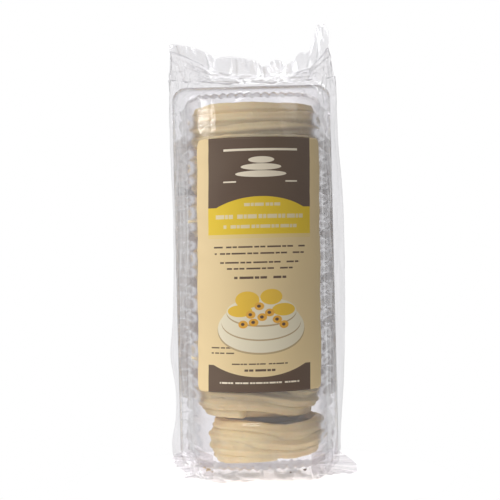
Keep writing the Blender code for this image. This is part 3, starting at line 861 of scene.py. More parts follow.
# Heights of the rows of puckers, in millimetres, closer together where the film is loose.
PUCKER_LEVELS = [3, 9, 16, 25, 38, 56, 78, 102, 128, 154, 178, 198, 212, 221, 230, 240, 250]
PUCKER_STEP = 12.0 * MM
LOOSE_ABOVE = 205 * MM
LOOSE_BELOW = 26 * MM
FOLDS_ABOVE = 214 * MM
FOLD_DEPTH = 1.3 * MM
UNDER_STICKER = 0.04 * MM  # depth of the puckers under the front sticker
STICKER_REACH = 36 * MM


def strip_between(front, back):
    """Triangles and quads between two rows of corner numbers with the same ends' order.

    The rows may hold different numbers of corners; each step goes on along the row that is behind.
    """
    faces = []
    i = j = 0
    while i < len(front) - 1 or j < len(back) - 1:
        ahead = (i + 1) / max(len(front) - 1, 1) <= (j + 1) / max(len(back) - 1, 1)
        if j == len(back) - 1 or (i < len(front) - 1 and ahead):
            faces.append((front[i], front[i + 1], back[j]))
            i += 1
        else:
            faces.append((front[i], back[j + 1], back[j]))
            j += 1
    return faces


def envelope_faces(rows, front_columns, back_columns):
    """Faces of a stack of rings, each a front row and then a back row, closed at both ends."""
    columns = front_columns + back_columns
    sides = grid_quads(rows, columns, True).tolist()
    front = list(range(front_columns))
    back = list(range(columns - 1, front_columns - 1, -1))
    bottom = [face[::-1] for face in strip_between(front, back)]
    last = (rows - 1) * columns
    top = [tuple(corner + last for corner in face) for face in strip_between(front, back)]
    return sides + bottom + top


def build_film(film, stickers):
    """The film from its base to the fin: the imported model's formula with puckers and folds.

    Each point moves along its normal by the puckers, deep where the film is loose, at the two
    ends, and shallow where it is drawn tight round the tray, and by the folds under the fin.
    """
    front = film_rows(film, True, FILM_COLUMNS)
    back = film_rows(film, False, BACK_COLUMNS)[:, ::-1]
    rings = np.concatenate([front, back], axis=1)
    middle = rings[LOWER_ROWS + WALL_ROWS // 2]
    u = np.broadcast_to(travelled(middle, 0), rings.shape[:2])
    v = np.broadcast_to(travelled(rings[:, FILM_COLUMNS // 2], 0)[:, None], rings.shape[:2])
    x, y, z = np.moveaxis(rings, -1, 0)
    levels = np.array(PUCKER_LEVELS) * MM * v.max() / (258 * MM)
    pucker, line = pillows(u, v, 7, PUCKER_STEP, levels)
    second, second_line = pillows(u, v, 23, PUCKER_STEP * 1.7, levels[::2])
    valley, fold = fold_lines(x, z, UPPER_FOLDS, 2.4 * MM)

    loose = np.maximum(smooth((z - LOOSE_ABOVE) / (16 * MM)), smooth((LOOSE_BELOW - z) / (18 * MM)))
    side_run = smooth((np.abs(x) - 33 * MM) / (10 * MM)) * (1 - smooth((y - 33 * MM) / (4 * MM)))
    behind = smooth((y - 30 * MM) / (8 * MM))
    slack = np.maximum(loose, 0.13 * side_run) * (1 - 0.6 * behind)
    depth = film.taut + (film.crumple - film.taut) * slack
    beside = (z > stickers.bottom - 2 * MM) & (z < stickers.top + 2 * MM)
    labelled = (np.abs(x) < STICKER_REACH) & (y < 0) & beside
    depth = np.where(labelled, UNDER_STICKER, depth)
    at_fin = 1 - 0.75 * smooth((v - (v.max() - 7 * MM)) / (7 * MM))
    cell = (PUCKER_STEP * 0.5) ** 2
    move = -np.clip(pucker / cell, 0, 2.2) * 0.5 + np.clip(second / (cell * 2.9), 0, 2) * 0.35
    near_top = smooth((z - FOLDS_ABOVE) / (5 * MM)) * (y < 33 * MM)
    move = depth * at_fin * move - FOLD_DEPTH * valley * near_top
    rings = rings + outward(rings) * move[..., None]
    rings[..., 2] = np.maximum(rings[..., 2], 0.0)
    # Painted highlight and shade lines along the puckers' edges and the folds under the fin, none under the
    # front sticker.
    painted_crease_lines = line * (0.25 + 0.75 * loose) + 0.35 * second_line * (0.3 + 0.7 * loose) + fold * near_top
    painted_crease_lines = np.where(labelled, 0.0, np.clip(painted_crease_lines, 0, 1))
    material = film_material("clear_film", film, film.haze, 0.22)
    faces = envelope_faces(len(rings), FILM_COLUMNS, BACK_COLUMNS)
    piece = new_piece("film", rings, faces, [material], values={"painted_crease_lines": painted_crease_lines})
    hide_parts("film_bag")


FIN_COLUMNS = 281
FIN_ROWS = 58

# Painted highlight and shade lines of the fin's pleats, as (across in millimetres, how far each leans to
# the right for each step up).
PAINTED_PLEAT_LINES = [(-24.5, 0.15), (-8.4, 0.02), (4.6, -0.1), (7.4, 0.1), (18.0, 0.2), (31.5, -0.35)]
PAINTED_PLEAT_LINES += [(36.8, -0.3), (-41.0, 0.3)]


def rib_lines(along, film):
    """1 on the crest of each rib of a seal, fading to 0 well before the next: where the seals' painted
    highlight and shade lines go.
    """
    return np.clip(0.5 + 0.5 * np.sin(FULL_TURN * along / film.rib_pitch), 0, 1) ** 3


def build_upper_seal(film):
    """The crimped fin: a thin closed strip on a wavy line, ribbed along its length.

    Its height runs from where the film parts to its upper edge, and each point moves across the
    fin by a sine of its distance below that edge.
    """
    x = np.linspace(-FIN_END_LEFT, FIN_END_RIGHT, FIN_COLUMNS)
    low = through(FIN_LOWER, x) - 0.4 * MM
    high = through(FIN_UPPER, x)
    t = np.linspace(0, 1, FIN_ROWS)[:, None]
    z = low + (high - low) * t
    below = high - z
    ribs = film.rib_depth * np.sin(FULL_TURN * below / film.rib_pitch)
    quiet = smooth(below / (1.2 * MM)) * smooth((z - low) / (1.5 * MM))
    sway = 0.7 * MM * wander(x + z * 0.3, 31, 16 * MM) * t
    middle = fin_line(x) + ribs * quiet + sway
    half = np.broadcast_to(FIN_THICKNESS * (0.36 - 0.26 * t), z.shape)
    front = stack(x, middle - half, z)
    back = stack(x, middle + half, z)[:, ::-1]
    rings = np.concatenate([front, back], axis=1)
    # Painted highlight and shade lines on the ribs' crests and along the pleats.
    painted_crease_lines = rib_lines(below, film) * 0.35 * quiet
    for at, lean in PAINTED_PLEAT_LINES:
        painted_crease_lines = painted_crease_lines + np.exp(-(((x - at * MM + (z - low) * lean) / (0.6 * MM)) ** 2))
    painted_crease_lines = np.clip(np.concatenate([painted_crease_lines, painted_crease_lines[:, ::-1]], axis=1), 0, 1)
    material = film_material("crimped_film", film, film.seal_haze, 0.3)
    faces = envelope_faces(FIN_ROWS, FIN_COLUMNS, FIN_COLUMNS)
    new_piece("upper_seal", rings, faces, [material], values={"painted_crease_lines": painted_crease_lines})


FLAP_ROWS = 44
FLAP_COLUMNS = 90


def flap_sheet(outline, film, seed):
    """One end of the lower seal: a fan of pleats from where it leaves the pack to its outer edge.

    Rows run outwards at even shares between the inner line and the outline, and each point moves
    front to back by a wave along the edge that grows outwards, and by the fine ribs.
    """
    points = np.array(outline, float) * MM
    way = np.concatenate([[0], np.cumsum(np.linalg.norm(np.diff(points, axis=0), axis=1))])
    at = np.linspace(0, way[-1], FLAP_COLUMNS)
    edge = np.stack([np.interp(at, way, points[:, 0]), np.interp(at, way, points[:, 1])], axis=-1)
    inner_x = points[0, 0] * 0.72
    inner = np.stack([np.full(FLAP_COLUMNS, inner_x), np.linspace(1.5, 13.0, FLAP_COLUMNS) * MM], axis=-1)
    t = np.linspace(0, 1, FLAP_ROWS)[:, None]
    x = inner[:, 0] + (edge[:, 0] - inner[:, 0]) * t
    z = inner[:, 1] + (edge[:, 1] - inner[:, 1]) * t
    pleat = 2.6 * MM * wander(np.broadcast_to(at, x.shape), seed, 17 * MM) * t**1.3
    ribs = film.rib_depth * np.sin(FULL_TURN * z / film.rib_pitch) * t
    return stack(x, 2.0 * MM + pleat + ribs, z)


def build_lower_seal(film):
    """The two ends of the squashed lower seal, which stick out at the pack's sides."""
    right = flap_sheet(RIGHT_FLAP, film, 41)
    left = flap_sheet(LEFT_FLAP, film, 43)
    quads = grid_quads(FLAP_ROWS, FLAP_COLUMNS, False)
    faces = np.concatenate([quads, quads + FLAP_ROWS * FLAP_COLUMNS])
    points = np.concatenate([right.reshape(-1, 3), left.reshape(-1, 3)])
    # Painted highlight and shade lines on the crests of the ribs.
    painted_crease_lines = rib_lines(points[:, 2], film) * 0.4
    material = film_material("squashed_film", film, film.seal_haze, 0.4)
    piece = new_piece("lower_seal", points, faces, [material], values={"painted_crease_lines": painted_crease_lines})
    add_wall(piece, 0.12 * MM, True)


# ---------------------------------------------------------------- tray

END_POINTS = 22  # from the middle of an end to its corner
SIDE_POINTS = 276  # up one long side
WALL_LEVELS = 20
ARC_LEVELS = 32
FLANGE_BACK = 38.4  # the flange's outer face and its inner edge across, in millimetres
FLANGE_INNER = 44.4
FLANGE_BEND = 1.6 * MM  # radius of the bend from the flange into the walls
BEND_Y = 36.8 * MM
WALL_Y = 36.6 * MM
BIG_FLUTE = 4.3 * MM  # half heights of the middle flute of a place and of the two beside it
SMALL_FLUTE = 2.9 * MM
SMALL_FLUTE_UP = 7.6 * MM
FLUTE_REACH = 10.6 * MM
SCALLOP_PITCH = 4.6 * MM
SCALLOP_DEPTH = 1.3 * MM


def tray_outline():
    """Points round a square of half width 1, from the middle of its lower side, turning left."""
    half = np.linspace(0, 1, END_POINTS, endpoint=False)
    side = np.linspace(-1, 1, SIDE_POINTS, endpoint=False)
    a = np.concatenate([half, np.ones(SIDE_POINTS), 1 - half, -half, -np.ones(SIDE_POINTS), half - 1])
    b = np.concatenate([-np.ones(END_POINTS), side, np.ones(2 * END_POINTS), -side, -np.ones(END_POINTS)])
    return a, b


def build_tray(tray):
    """The moulded tray: closed outlines from the flange's lip, over the flange and down to the front.

    Each outline is a rectangle with round corners, whose corner points move onto the arc along the
    line to its centre. Its width follows straight walls and then a half circle seen from above.
    The side walls move out by three flutes at each nest's place and in by a rib between places,
    and the end walls are scalloped. The rim value, which places painted highlight lines, is 1 on
    the outlines of the flutes and 0.7 on the flange's lip.
    """
    a, b = tray_outline()
    radius = tray.radius
    depth = radius + FLANGE_BACK * MM
    inner = radius + 0.7 * MM
    wall_y = np.linspace(WALL_Y, 0, WALL_LEVELS)
    theta = np.linspace(math.pi / 2, math.radians(1.6), ARC_LEVELS + 1)[1:]
    wide = tray.flange_half_width / MM
    lip = [(wide, FLANGE_BACK - 1.5), (wide, FLANGE_BACK - 0.4), (wide - 0.4, FLANGE_BACK)]
    lip += [(wide - 2.0, FLANGE_BACK), (FLANGE_INNER, FLANGE_BACK)]
    bend = np.linspace(0, math.pi / 2, 5)
    bend_w = inner + FLANGE_BEND * (1 - np.sin(bend))
    bend_y = BEND_Y + FLANGE_BEND * np.cos(bend)
    width = np.concatenate(
        [[w * MM for w, _ in lip], bend_w, np.linspace(inner, radius, WALL_LEVELS), radius * np.sin(theta)]
    )
    y = np.concatenate([[d * MM for _, d in lip], bend_y, wall_y, -radius * np.cos(theta)])
    on_flange = np.arange(len(y)) < len(lip)
    gone = (FLANGE_BACK * MM - y) / depth
    edge = np.clip((width - FLANGE_INNER * MM) / (tray.flange_half_width - FLANGE_INNER * MM), 0, 1)
    low = np.where(on_flange, tray.flange_bottom + (1 - edge) * 1.4 * MM, 3.0 * MM + 8.0 * MM * gone)
    high = np.where(on_flange, tray.flange_top - (1 - edge) * 3.2 * MM, 221.0 * MM - 7.0 * MM * gone)
    middle = (low + high)[:, None] / 2
    half = (high - low)[:, None] / 2

    x = a * width[:, None]
    z = middle + b * half
    corner = np.minimum(tray.corner, 0.95 * width)[:, None]
    over_x = np.maximum(np.abs(x) - (width[:, None] - corner), 0)
    over_z = np.maximum(np.abs(z - middle) - (half - corner), 0)
    both = (over_x > 0) & (over_z > 0)
    pull = np.where(both, np.maximum(over_x, over_z) / np.maximum(np.hypot(over_x, over_z), 1e-9), 1.0)
    x = np.sign(x) * (np.abs(x) - over_x + over_x * pull)
    z = middle + np.sign(z - middle) * (np.abs(z - middle) - over_z + over_z * pull)

    lean = np.concatenate([np.full(len(y) - ARC_LEVELS, math.pi / 2), theta])[:, None]
    on_side = (np.abs(a) == 1) * smooth((half - np.abs(z - middle) - 5 * MM) / (4 * MM))
    place = (z - tray.first_rib) / tray.rib_pitch
    centre = (place - np.floor(place) - 0.5) * tray.rib_pitch
    from_rib = np.minimum(centre + tray.rib_pitch / 2, tray.rib_pitch / 2 - centre)
    rib = np.exp(-((from_rib / (1.1 * MM)) ** 2)) * smooth((34 * MM - y[:, None]) / (6 * MM))
    big = np.clip(1 - (centre / BIG_FLUTE) ** 2, 0, 1) ** 0.7
    small = np.clip(1 - ((np.abs(centre) - SMALL_FLUTE_UP) / SMALL_FLUTE) ** 2, 0, 1) ** 0.7
    at_wall = smooth((y[:, None] + 6 * MM) / (17 * MM))
    on_arc = smooth((lean - math.radians(48)) / math.radians(30)) * (1 - at_wall)
    flute = np.maximum(big, 0.82 * small)
    move = tray.lobe_depth * flute * at_wall + 1.1 * MM * (flute - 1) * on_arc
    move = (move - tray.rib_depth * rib) * on_side
    move = np.where(on_flange[:, None], 0.0, move)
    x = x + np.sign(a) * move * np.sin(lean)
    y = y[:, None] - move * np.cos(lean)

    on_end = (np.abs(b) == 1) & (np.abs(a) < 1)
    scallop = np.abs(np.sin(math.pi * x / SCALLOP_PITCH)) * smooth((radius * 0.86 - np.abs(x)) / (4 * MM))
    scallop = np.where(on_end & ~on_flange[:, None], SCALLOP_DEPTH * (scallop - 0.5), 0.0)
    z = z + np.sign(b) * scallop

    x = x - tray.flange_shift * on_flange[:, None]
    # The rim value places painted highlight lines on the flutes' outlines and, at 0.7, on the flange's lip.
    bump_out = flute * (at_wall + 0.75 * on_arc) * on_side
    rim = np.exp(-(((bump_out - 0.34) / 0.15) ** 2)) * (np.abs(centre) < FLUTE_REACH)
    rim = np.maximum(rim, np.where(on_flange & (np.arange(len(y)) < 3), 0.7, 0.0)[:, None])
    points = stack(x, y, z)
    levels, count = points.shape[:2]
    faces = grid_quads(levels, count, True).tolist()
    last = (levels - 1) * count
    right = [last + k for k in range(count // 2 + 1)]
    left = [last + (-k) % count for k in range(count // 2 + 1)]
    faces += [(right[k], right[k + 1], left[k + 1], left[k]) for k in range(1, count // 2 - 1)]
    faces += [(right[0], right[1], left[1]), (right[-2], right[-1], left[-2])]
    piece = new_piece("tray", points, faces, [tray_material(tray)], values={"rim": rim})
    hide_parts("clear_tray")
    add_wall(piece, tray.wall, False)


# ---------------------------------------------------------------- nests

WALL_STEPS = 720  # points along the rope of a nest's wall
WALL_AROUND = 36
FLOOR_STEPS = 230
FLOOR_AROUND = 20
ROPE_PITCH_SHARE = 1.62  # distance between turns of the floor's spiral, in rope half widths
RIDGES = 7  # ridges round the rope, and their depth as a share of its width
RIDGE_DEPTH = 0.085
NEST_RADIUS = 32 * MM
SPIRAL_START = 2.2 * MM  # how far from the middle the floor's spiral starts
SLOW_WANDER = 0.55 * MM  # how far the wall's rope strays from its ring, slowly and quickly
QUICK_WANDER = 0.35 * MM
SWAY = 0.75 * MM  # how far the rope rises and dips round each turn, and along its length
DIP = 0.45 * MM
LUMPS = 0.16 * MM


def rope_mesh(centre, turn, half_width, half_height, around, first):
    """Closed tube along a path that winds clockwise round Z.

    The cross section is an oval that stands on the line out from Z: at angle c round it, a point
    lies half_width cos c outwards and half_height sin c up. Shallow ridges run along it.
    """
    c = np.linspace(0, FULL_TURN, around, endpoint=False)
    ridges = 1 + RIDGE_DEPTH * np.cos(RIDGES * c + 1.3 * np.sin(turn * 1.3)[:, None])
    out = half_width[:, None] * np.cos(c) * ridges
    up = half_height[:, None] * np.sin(c) * ridges
    points = stack(
        centre[:, 0, None] + out * np.cos(turn)[:, None],
        centre[:, 1, None] + out * np.sin(turn)[:, None],
        centre[:, 2, None] + up,
    )
    steps = len(centre)
    faces = grid_quads(steps, around, True, first).tolist()
    start_pole = first + steps * around
    end_pole = start_pole + 1
    ring = np.arange(around)
    last = first + (steps - 1) * around
    faces += [(start_pole, first + (k + 1) % around, first + k) for k in ring.tolist()]
    faces += [(end_pole, last + k, last + (k + 1) % around) for k in ring.tolist()]
    points = np.concatenate([points.reshape(-1, 3), centre[:1], centre[-1:]])
    travel = np.concatenate([[0], np.cumsum(np.linalg.norm(np.diff(centre, axis=0), axis=1))])
    u = np.broadcast_to(travel[:, None] / (10 * MM), (steps, around)).reshape(-1)
    v = np.broadcast_to(0.5 + 0.5 * np.cos(c / 2), (steps, around)).reshape(-1)
    uv = np.concatenate([np.stack([u, v], axis=-1), [[0.0, 0.5], [travel[-1] / (10 * MM), 0.5]]])
    return points, faces, uv


def round_end(distance, reach, power=0.5):
    """0 at a rope's end, rising to 1 at the reach: a half round for power 0.5, a point above it."""
    t = np.clip(distance / reach, 0, 1)
    return np.maximum(1 - (1 - t) ** 2, 0) ** power


def stair(t, climb, late):
    """Whole turns as level steps, with a smooth climb over the last share of each, put off by late."""
    t = t - late
    step = np.floor(t)
    return np.maximum(step + smooth((t - step - (1 - climb)) / climb), 0)


def nest_mesh(spec, number_of, nest):
    """One nest: a rope wound up into its wall, on a flat spiral of rope for its floor.

    The wall's rope turns clockwise. Its distance from the middle and its height go from ring to
    ring in level steps, and both wander a little. The spiral's distance grows evenly with its turn.
    """
    foot, across, deep, outer, foot_outer, start, late, tilt_right, tilt_back, short = spec
    seed = 100 + 17 * number_of
    half_width = nest.rope_half_width
    half_height = nest.rope_half_height
    turns = nest.turns - short
    t = np.linspace(0, turns, WALL_STEPS)
    turn = math.radians(start) - FULL_TURN * t
    level = stair(t, nest.climb, late)
    ring = np.array([foot_outer, outer - 0.4, outer, outer - 2.6, outer - 8.0]) * MM - half_width
    radius = np.interp(level, np.arange(5), ring)
    radius = radius + SLOW_WANDER * wander(turn, seed, 5.1) + QUICK_WANDER * wander(t, seed + 1, 0.41)
    sway = SWAY * wander(np.mod(turn, FULL_TURN), seed + 2, FULL_TURN, 3) * np.minimum(level, 1)
    lift = half_height - 0.3 * MM + nest.rise * level + sway + DIP * wander(t, seed + 3, 0.57)
    thick = 1 + 0.1 * wander(t, seed + 4, 0.83) + 0.04 * wander(t, seed + 5, 0.11)
    travel = t * FULL_TURN * NEST_RADIUS
    ends = round_end(travel, 4.0 * MM) * round_end(travel[-1] - travel, 16.0 * MM, 0.8)
    size = thick * np.maximum(ends, 0.02)
    centre = stack(radius * np.cos(turn), radius * np.sin(turn), lift)
    points, faces, uv = rope_mesh(centre, turn, half_width * size, half_height * size, WALL_AROUND, 0)

    pitch = half_width * ROPE_PITCH_SHARE
    outside = ring[0] - half_width * 0.5
    spiral_turns = (outside - SPIRAL_START) / pitch
    t = np.linspace(0, spiral_turns, FLOOR_STEPS)
    turn = math.radians(start + 70) - FULL_TURN * t
    radius = SPIRAL_START + pitch * t
    travel = travelled(stack(radius * np.cos(turn), radius * np.sin(turn), 0.0), 0)
    ends = np.maximum(round_end(travel, 3.0 * MM) * round_end(travel[-1] - travel, 6.0 * MM), 0.02)
    lift = half_height * 0.86 + 0.25 * MM * wander(t, seed + 6, 0.7)
    centre = stack(radius * np.cos(turn), radius * np.sin(turn), lift)
    floor, more, floor_uv = rope_mesh(
        centre, turn, half_width * ends, half_height * 0.9 * ends, FLOOR_AROUND, len(points)
    )
    points = np.concatenate([points, floor])
    points[:, 2] = np.maximum(points[:, 2], 0.12 * MM)
    lumps = LUMPS * wander(points[:, 0] * 1.3 + points[:, 2], seed + 7, 11 * MM)
    points[:, :2] *= 1 + (lumps / NEST_RADIUS)[:, None]

    right = math.radians(tilt_right)
    back = math.radians(tilt_back)
    points[:, 2] += -points[:, 0] * math.sin(right) + points[:, 1] * math.sin(back)
    points = points + np.array([across, deep, foot]) * MM
    return points, faces + more, np.concatenate([uv, floor_uv])


def build_nests(nest, tray):
    """Eight nests stacked in the tray, each pressed flat where it would pass through the wall."""
    material = meringue_material(nest)
    limit = tray.radius - tray.wall - 0.25 * MM
    for k, spec in enumerate(NESTS):
        points, faces, uv = nest_mesh(spec, k, nest)
        reach = np.hypot(points[:, 0], np.minimum(points[:, 1], 0))
        points[:, :2] *= np.minimum(limit / np.maximum(reach, 1e-9), 1)[:, None]
        piece = new_piece(f"nest_{k + 1}", points, faces, [material], uv=uv)
        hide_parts(f"meringue_{k + 1}")


# ---------------------------------------------------------------- stickers and crumbs


def rounded_columns(half_width, corner, columns, bend_steps=10):
    """Columns across a sheet, close together at both ends, and how far each is cut by the corner."""
    edge = half_width - corner
    bend = np.linspace(0, math.pi / 2, bend_steps + 1)
    rim = edge + corner * np.sin(bend)
    flat = np.linspace(-edge, edge, columns)[1:-1]
    sideways = np.concatenate([-rim[::-1], flat, rim])
    beyond = np.clip(np.abs(sideways) - edge, 0, corner)
    return sideways, corner - np.sqrt(np.maximum(corner**2 - beyond**2, 0))


def build_front_sticker(film, stickers):
    """Paper bent round the film's front arc, a little askew, with its edges slightly lifted."""
    radius = film.front_radius
    half_width = radius * stickers.half_angle
    tall = stickers.top - stickers.bottom
    sideways, inset = rounded_columns(half_width, stickers.corner, 110)
    t = np.linspace(0, 1, 130)[:, None]
    height = inset + (tall - 2 * inset) * t
    turn = stickers.turn_bottom + (stickers.turn_top - stickers.turn_bottom) * height / tall
    angle = sideways / radius + turn
    near_side = smooth((np.abs(sideways) / half_width - 0.6) / 0.4)
    ripple = wander(height + sideways * 0.4, 61, 46 * MM)
    off = 0.36 * MM + near_side * 0.34 * MM * (1 + ripple)
    out = radius + off
    points = stack(out * np.sin(angle), -out * np.cos(angle), stickers.bottom + height)
    u = sideways / (2 * half_width) + 0.5
    uv = np.stack(np.broadcast_arrays(u, height / tall), axis=-1)
    material = front_print(stickers, 2 * half_width, tall)
    faces = grid_quads(*height.shape, False)
    piece = new_piece("front_sticker", points, faces, [material], uv=uv)
    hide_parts("front_label")
    add_wall(piece, 0.18 * MM, True)


def build_back_sticker(film, stickers):
    """Flat paper on the pack's back, printed outside and plain inside, its inner face painted darker as
    shade.
    """
    half_width = (stickers.back_right - stickers.back_left) / 2
    middle = (stickers.back_right + stickers.back_left) / 2
    tall = stickers.back_top - stickers.back_bottom
    sideways, inset = rounded_columns(half_width, stickers.back_corner, 70)
    t = np.linspace(0, 1, 110)[:, None]
    height = inset + (tall - 2 * inset) * t
    ripple = wander(height + sideways * 0.8, 67, 70 * MM)
    y = film.back_y + 0.42 * MM - 0.10 * MM * (1 + ripple)
    points = stack(sideways + middle, y, stickers.back_bottom + height)
    u = sideways / (2 * half_width) + 0.5
    uv = np.stack(np.broadcast_arrays(u, height / tall), axis=-1)
    inside = back_inside(stickers, 2 * half_width, tall)
    outside = back_print(stickers, 2 * half_width, tall)
    faces = grid_quads(*height.shape, False)
    piece = new_piece("back_sticker", points, faces, [inside, outside], uv=uv)
    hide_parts("back_label")
    add_wall(piece, 0.16 * MM, False, 1)


def build_crumbs():
    """Loose crumbs: small lumpy balls in the fold of film under the tray."""
    rows, columns = 9, 14
    polar = np.linspace(0, math.pi, rows)[1:-1, None]
    around = np.linspace(0, FULL_TURN, columns, endpoint=False)
    ball = stack(np.sin(polar) * np.cos(around), np.sin(polar) * np.sin(around), np.cos(polar))
    ball = np.concatenate([ball.reshape(-1, 3), [[0, 0, 1], [0, 0, -1]]])
    ring = np.arange(columns)
    inner = rows - 2
    quads = grid_quads(inner, columns, True, flip=True)
    top = [(inner * columns, k, (k + 1) % columns) for k in ring.tolist()]
    last = (inner - 1) * columns
    bottom = [(inner * columns + 1, last + (k + 1) % columns, last + k) for k in ring.tolist()]
    all_points = []
    all_faces = []
    tones = []
    squash = np.array([1.2, 0.9, 0.7])
    slant = np.array([3.1, 2.3, 2.7])
    for k, (across, height, size, tone) in enumerate(CRUMBS):
        lump = 1 + 0.28 * np.sin(ball @ slant + 1.7 * k) + 0.15 * np.cos(ball[:, 0] * 7 + k)
        place = np.array([across, -17.0 + 0.6 * height, height]) * MM
        first = k * len(ball)
        all_points.append(ball * lump[:, None] * squash * size * MM * 0.8 + place)
        all_faces += (quads + first).tolist()
        all_faces += [tuple(corner + first for corner in face) for face in top + bottom]
        tones.append(np.full(len(ball), tone))
    values = {"tone": np.concatenate(tones)}
    points = np.concatenate(all_points)
    new_piece("crumbs", points, all_faces, [crumb_material()], values=values)


# ---------------------------------------------------------------- stage


GROUND_DROP = 0.2 * MM
WARM = (1.0, 0.985, 0.96)
WHITE = (1.0, 1.0, 1.0)
SIDE_SHARE = 0.33  # power of the lights at the right and behind, as shares of the one in front
RIM_SHARE = 0.5


def soft_light(name, place, aim, size, power):
    """A rectangular light that faces a point; the key light is warm and isn't mirrored."""
    lamp = bpy.data.lights.new(name, "AREA")
    lamp.shape = "RECTANGLE"
    lamp.size, lamp.size_y = size
    lamp.energy = power
    lamp.color = WARM if name == "key" else WHITE
    thing = bpy.data.objects.new(name, lamp)
    bpy.context.scene.collection.objects.link(thing)
    way = Vector(aim) - Vector(place)
    thing.location = place
    thing.rotation_euler = way.to_track_quat("-Z", "Y").to_euler()
    thing.visible_glossy = name != "key"


def round_place(azimuth, distance, height):
    """A place round the pack: azimuth 0 is in front, and negative is on the left."""
    angle = math.radians(azimuth)
    return (distance * math.sin(angle), -distance * math.cos(angle), height)


def build_stage(studio):
    """Pale ground, lights, and the camera at the height and distance that show the pack."""
    scene = bpy.context.scene
    rings = 4
    spokes = 64
    angle = np.linspace(0, FULL_TURN, spokes, endpoint=False)
    reach = 0.05 * 1.28 ** np.arange(rings)[:, None]
    points = stack(reach * np.cos(angle), reach * np.sin(angle), -GROUND_DROP).reshape(-1, 3)
    points = np.concatenate([points, [[0, 0, -GROUND_DROP]]])
    faces = grid_quads(rings, spokes, True, flip=True).tolist()
    faces += [(rings * spokes, k, (k + 1) % spokes) for k in range(spokes)]
    mesh = bpy.data.meshes.new("ground")
    mesh.from_pydata(points, [], faces)
    mesh.materials.append(ground_material(studio.backdrop))
    ground = bpy.data.objects.new("ground", mesh)
    scene.collection.objects.link(ground)
    ground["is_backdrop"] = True

    world = bpy.data.worlds.new("studio")
    world.use_nodes = True
    tree = world.node_tree
    tree.nodes.clear()
    seen = tree.nodes.new("ShaderNodeLightPath").outputs["Is Camera Ray"]
    brightness = tree.nodes.new("ShaderNodeMapRange")
    tree.links.new(seen, brightness.inputs["Value"])
    mirrored = tree.nodes.new("ShaderNodeMapRange")
    tree.links.new(seen.node.outputs["Is Glossy Ray"], mirrored.inputs["Value"])
    mirrored.inputs["To Min"].default_value = studio.ambient
    mirrored.inputs["To Max"].default_value = studio.mirrored
    tree.links.new(mirrored.outputs["Result"], brightness.inputs["To Min"])
    brightness.inputs["To Max"].default_value = studio.backdrop
    sky = tree.nodes.new("ShaderNodeBackground")
    sky.inputs["Color"].default_value = (1, 1, 1, 1)
    tree.links.new(brightness.outputs["Result"], sky.inputs["Strength"])
    tree.links.new(sky.outputs[0], tree.nodes.new("ShaderNodeOutputWorld").inputs["Surface"])
    scene.world = world

    # Each light's azimuth, distance, height, the height it faces, its size and its power.
    lights = {
        "key": (-74, 0.95, 0.36, 0.12, (0.95, 1.3), studio.key),
        "glare": (-86, 1.3, 0.36, 0.12, (0.75, 0.07), studio.glare),
        "fill": (-18, 0.8, 0.7, 0.19, (0.5, 0.35), studio.fill),
        "side": (62, 1.0, 0.6, 0.16, (0.6, 0.6), studio.fill * SIDE_SHARE),
        "rim": (165, 1.1, 0.75, 0.12, (0.8, 0.6), studio.fill * RIM_SHARE),
    }
    for name, (azimuth, distance, height, aim, size, power) in lights.items():
        soft_light(name, round_place(azimuth, distance, height), (0, 0, aim), size, power)

    data = bpy.data.cameras.new("camera")
    data.sensor_width = 36
    data.lens = studio.lens
    data.clip_start = 0.01
    camera = bpy.data.objects.new("camera", data)
    scene.collection.objects.link(camera)
    camera.location = (AXIS_X - studio.eye_left, -studio.eye_distance, studio.eye_height)
    upright = Matrix.Rotation(math.radians(90), 3, "X")
    camera.rotation_euler = (upright @ Matrix.Rotation(-studio.lean, 3, "Z")).to_euler()
    scene.camera = camera
    scene.view_settings.view_transform = "Standard"
    scene.cycles.transparent_max_bounces = 32


# ---------------------------------------------------------------- operators


class MERINGUEPACK_OT_stage(bpy.types.Operator):
    """Adds the ground, the lights and the camera"""

    bl_idname = "meringue_pack.stage"
    bl_label = "Stage"

    def execute(self, context):
        build_stage(context.scene.meringue_studio)
        return {"FINISHED"}


class MERINGUEPACK_OT_nests(bpy.types.Operator):
    """Adds the eight piped nests"""

    bl_idname = "meringue_pack.nests"
    bl_label = "Meringue nests"

    def execute(self, context):
        build_nests(context.scene.meringue_nest, context.scene.meringue_tray)
        return {"FINISHED"}


class MERINGUEPACK_OT_tray(bpy.types.Operator):
    """Adds the clear tray"""

    bl_idname = "meringue_pack.tray"
    bl_label = "Tray"

    def execute(self, context):
        build_tray(context.scene.meringue_tray)
        return {"FINISHED"}


class MERINGUEPACK_OT_film(bpy.types.Operator):
    """Adds the clear film and its upper and lower seals"""

    bl_idname = "meringue_pack.film"
    bl_label = "Film and seals"

    def execute(self, context):
        film = context.scene.meringue_film
        build_film(film, context.scene.meringue_stickers)
        build_upper_seal(film)
        build_lower_seal(film)
        return {"FINISHED"}


class MERINGUEPACK_OT_stickers(bpy.types.Operator):
    """Adds the front and the back sticker"""

    bl_idname = "meringue_pack.stickers"
    bl_label = "Stickers"

    def execute(self, context):
        film = context.scene.meringue_film
        build_front_sticker(film, context.scene.meringue_stickers)
        build_back_sticker(film, context.scene.meringue_stickers)
        return {"FINISHED"}


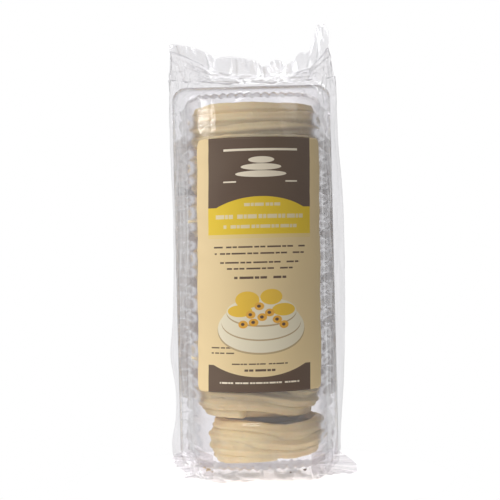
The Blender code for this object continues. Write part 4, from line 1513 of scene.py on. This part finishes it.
class MERINGUEPACK_OT_crumbs(bpy.types.Operator):
    """Adds the loose crumbs"""

    bl_idname = "meringue_pack.crumbs"
    bl_label = "Crumbs"

    def execute(self, context):
        build_crumbs()
        return {"FINISHED"}


class MERINGUEPACK_PT_panel(bpy.types.Panel):
    """Lists the steps and the pack's sizes and colours"""

    bl_idname = "MERINGUEPACK_PT_panel"
    bl_label = "Meringue Pack"
    bl_space_type = "VIEW_3D"
    bl_region_type = "UI"
    bl_category = "Meringue Pack"

    def draw(self, context):
        for step in STEPS:
            self.layout.operator(step.bl_idname)
        for name, group in GROUPS.items():
            settings = getattr(context.scene, name)
            box = self.layout.box()
            for key in group.__annotations__:
                box.prop(settings, key)


STEPS = [
    MERINGUEPACK_OT_stage,
    MERINGUEPACK_OT_nests,
    MERINGUEPACK_OT_tray,
    MERINGUEPACK_OT_film,
    MERINGUEPACK_OT_stickers,
    MERINGUEPACK_OT_crumbs,
]
GROUPS = {
    "meringue_film": MeringuePackFilm,
    "meringue_tray": MeringuePackTray,
    "meringue_nest": MeringuePackNest,
    "meringue_stickers": MeringuePackStickers,
    "meringue_studio": MeringuePackStudio,
}


def register():
    for group in GROUPS.values():
        bpy.utils.register_class(group)
    for name, group in GROUPS.items():
        setattr(bpy.types.Scene, name, bpy.props.PointerProperty(type=group))
    for step in [*STEPS, MERINGUEPACK_PT_panel]:
        bpy.utils.register_class(step)


def unregister():
    for step in [*STEPS, MERINGUEPACK_PT_panel]:
        bpy.utils.unregister_class(step)
    for name, group in GROUPS.items():
        delattr(bpy.types.Scene, name)
        bpy.utils.unregister_class(group)


def main():
    register()
    bpy.ops.meringue_pack.stage()
    bpy.ops.meringue_pack.nests()
    bpy.ops.meringue_pack.tray()
    bpy.ops.meringue_pack.film()
    bpy.ops.meringue_pack.stickers()
    bpy.ops.meringue_pack.crumbs()
    boxes = {"cad": CAD_BOX, "visual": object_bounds()}
    boxes = {name: [list(corner) for corner in box] for name, box in boxes.items()}


if __name__ == "__main__":
    main()
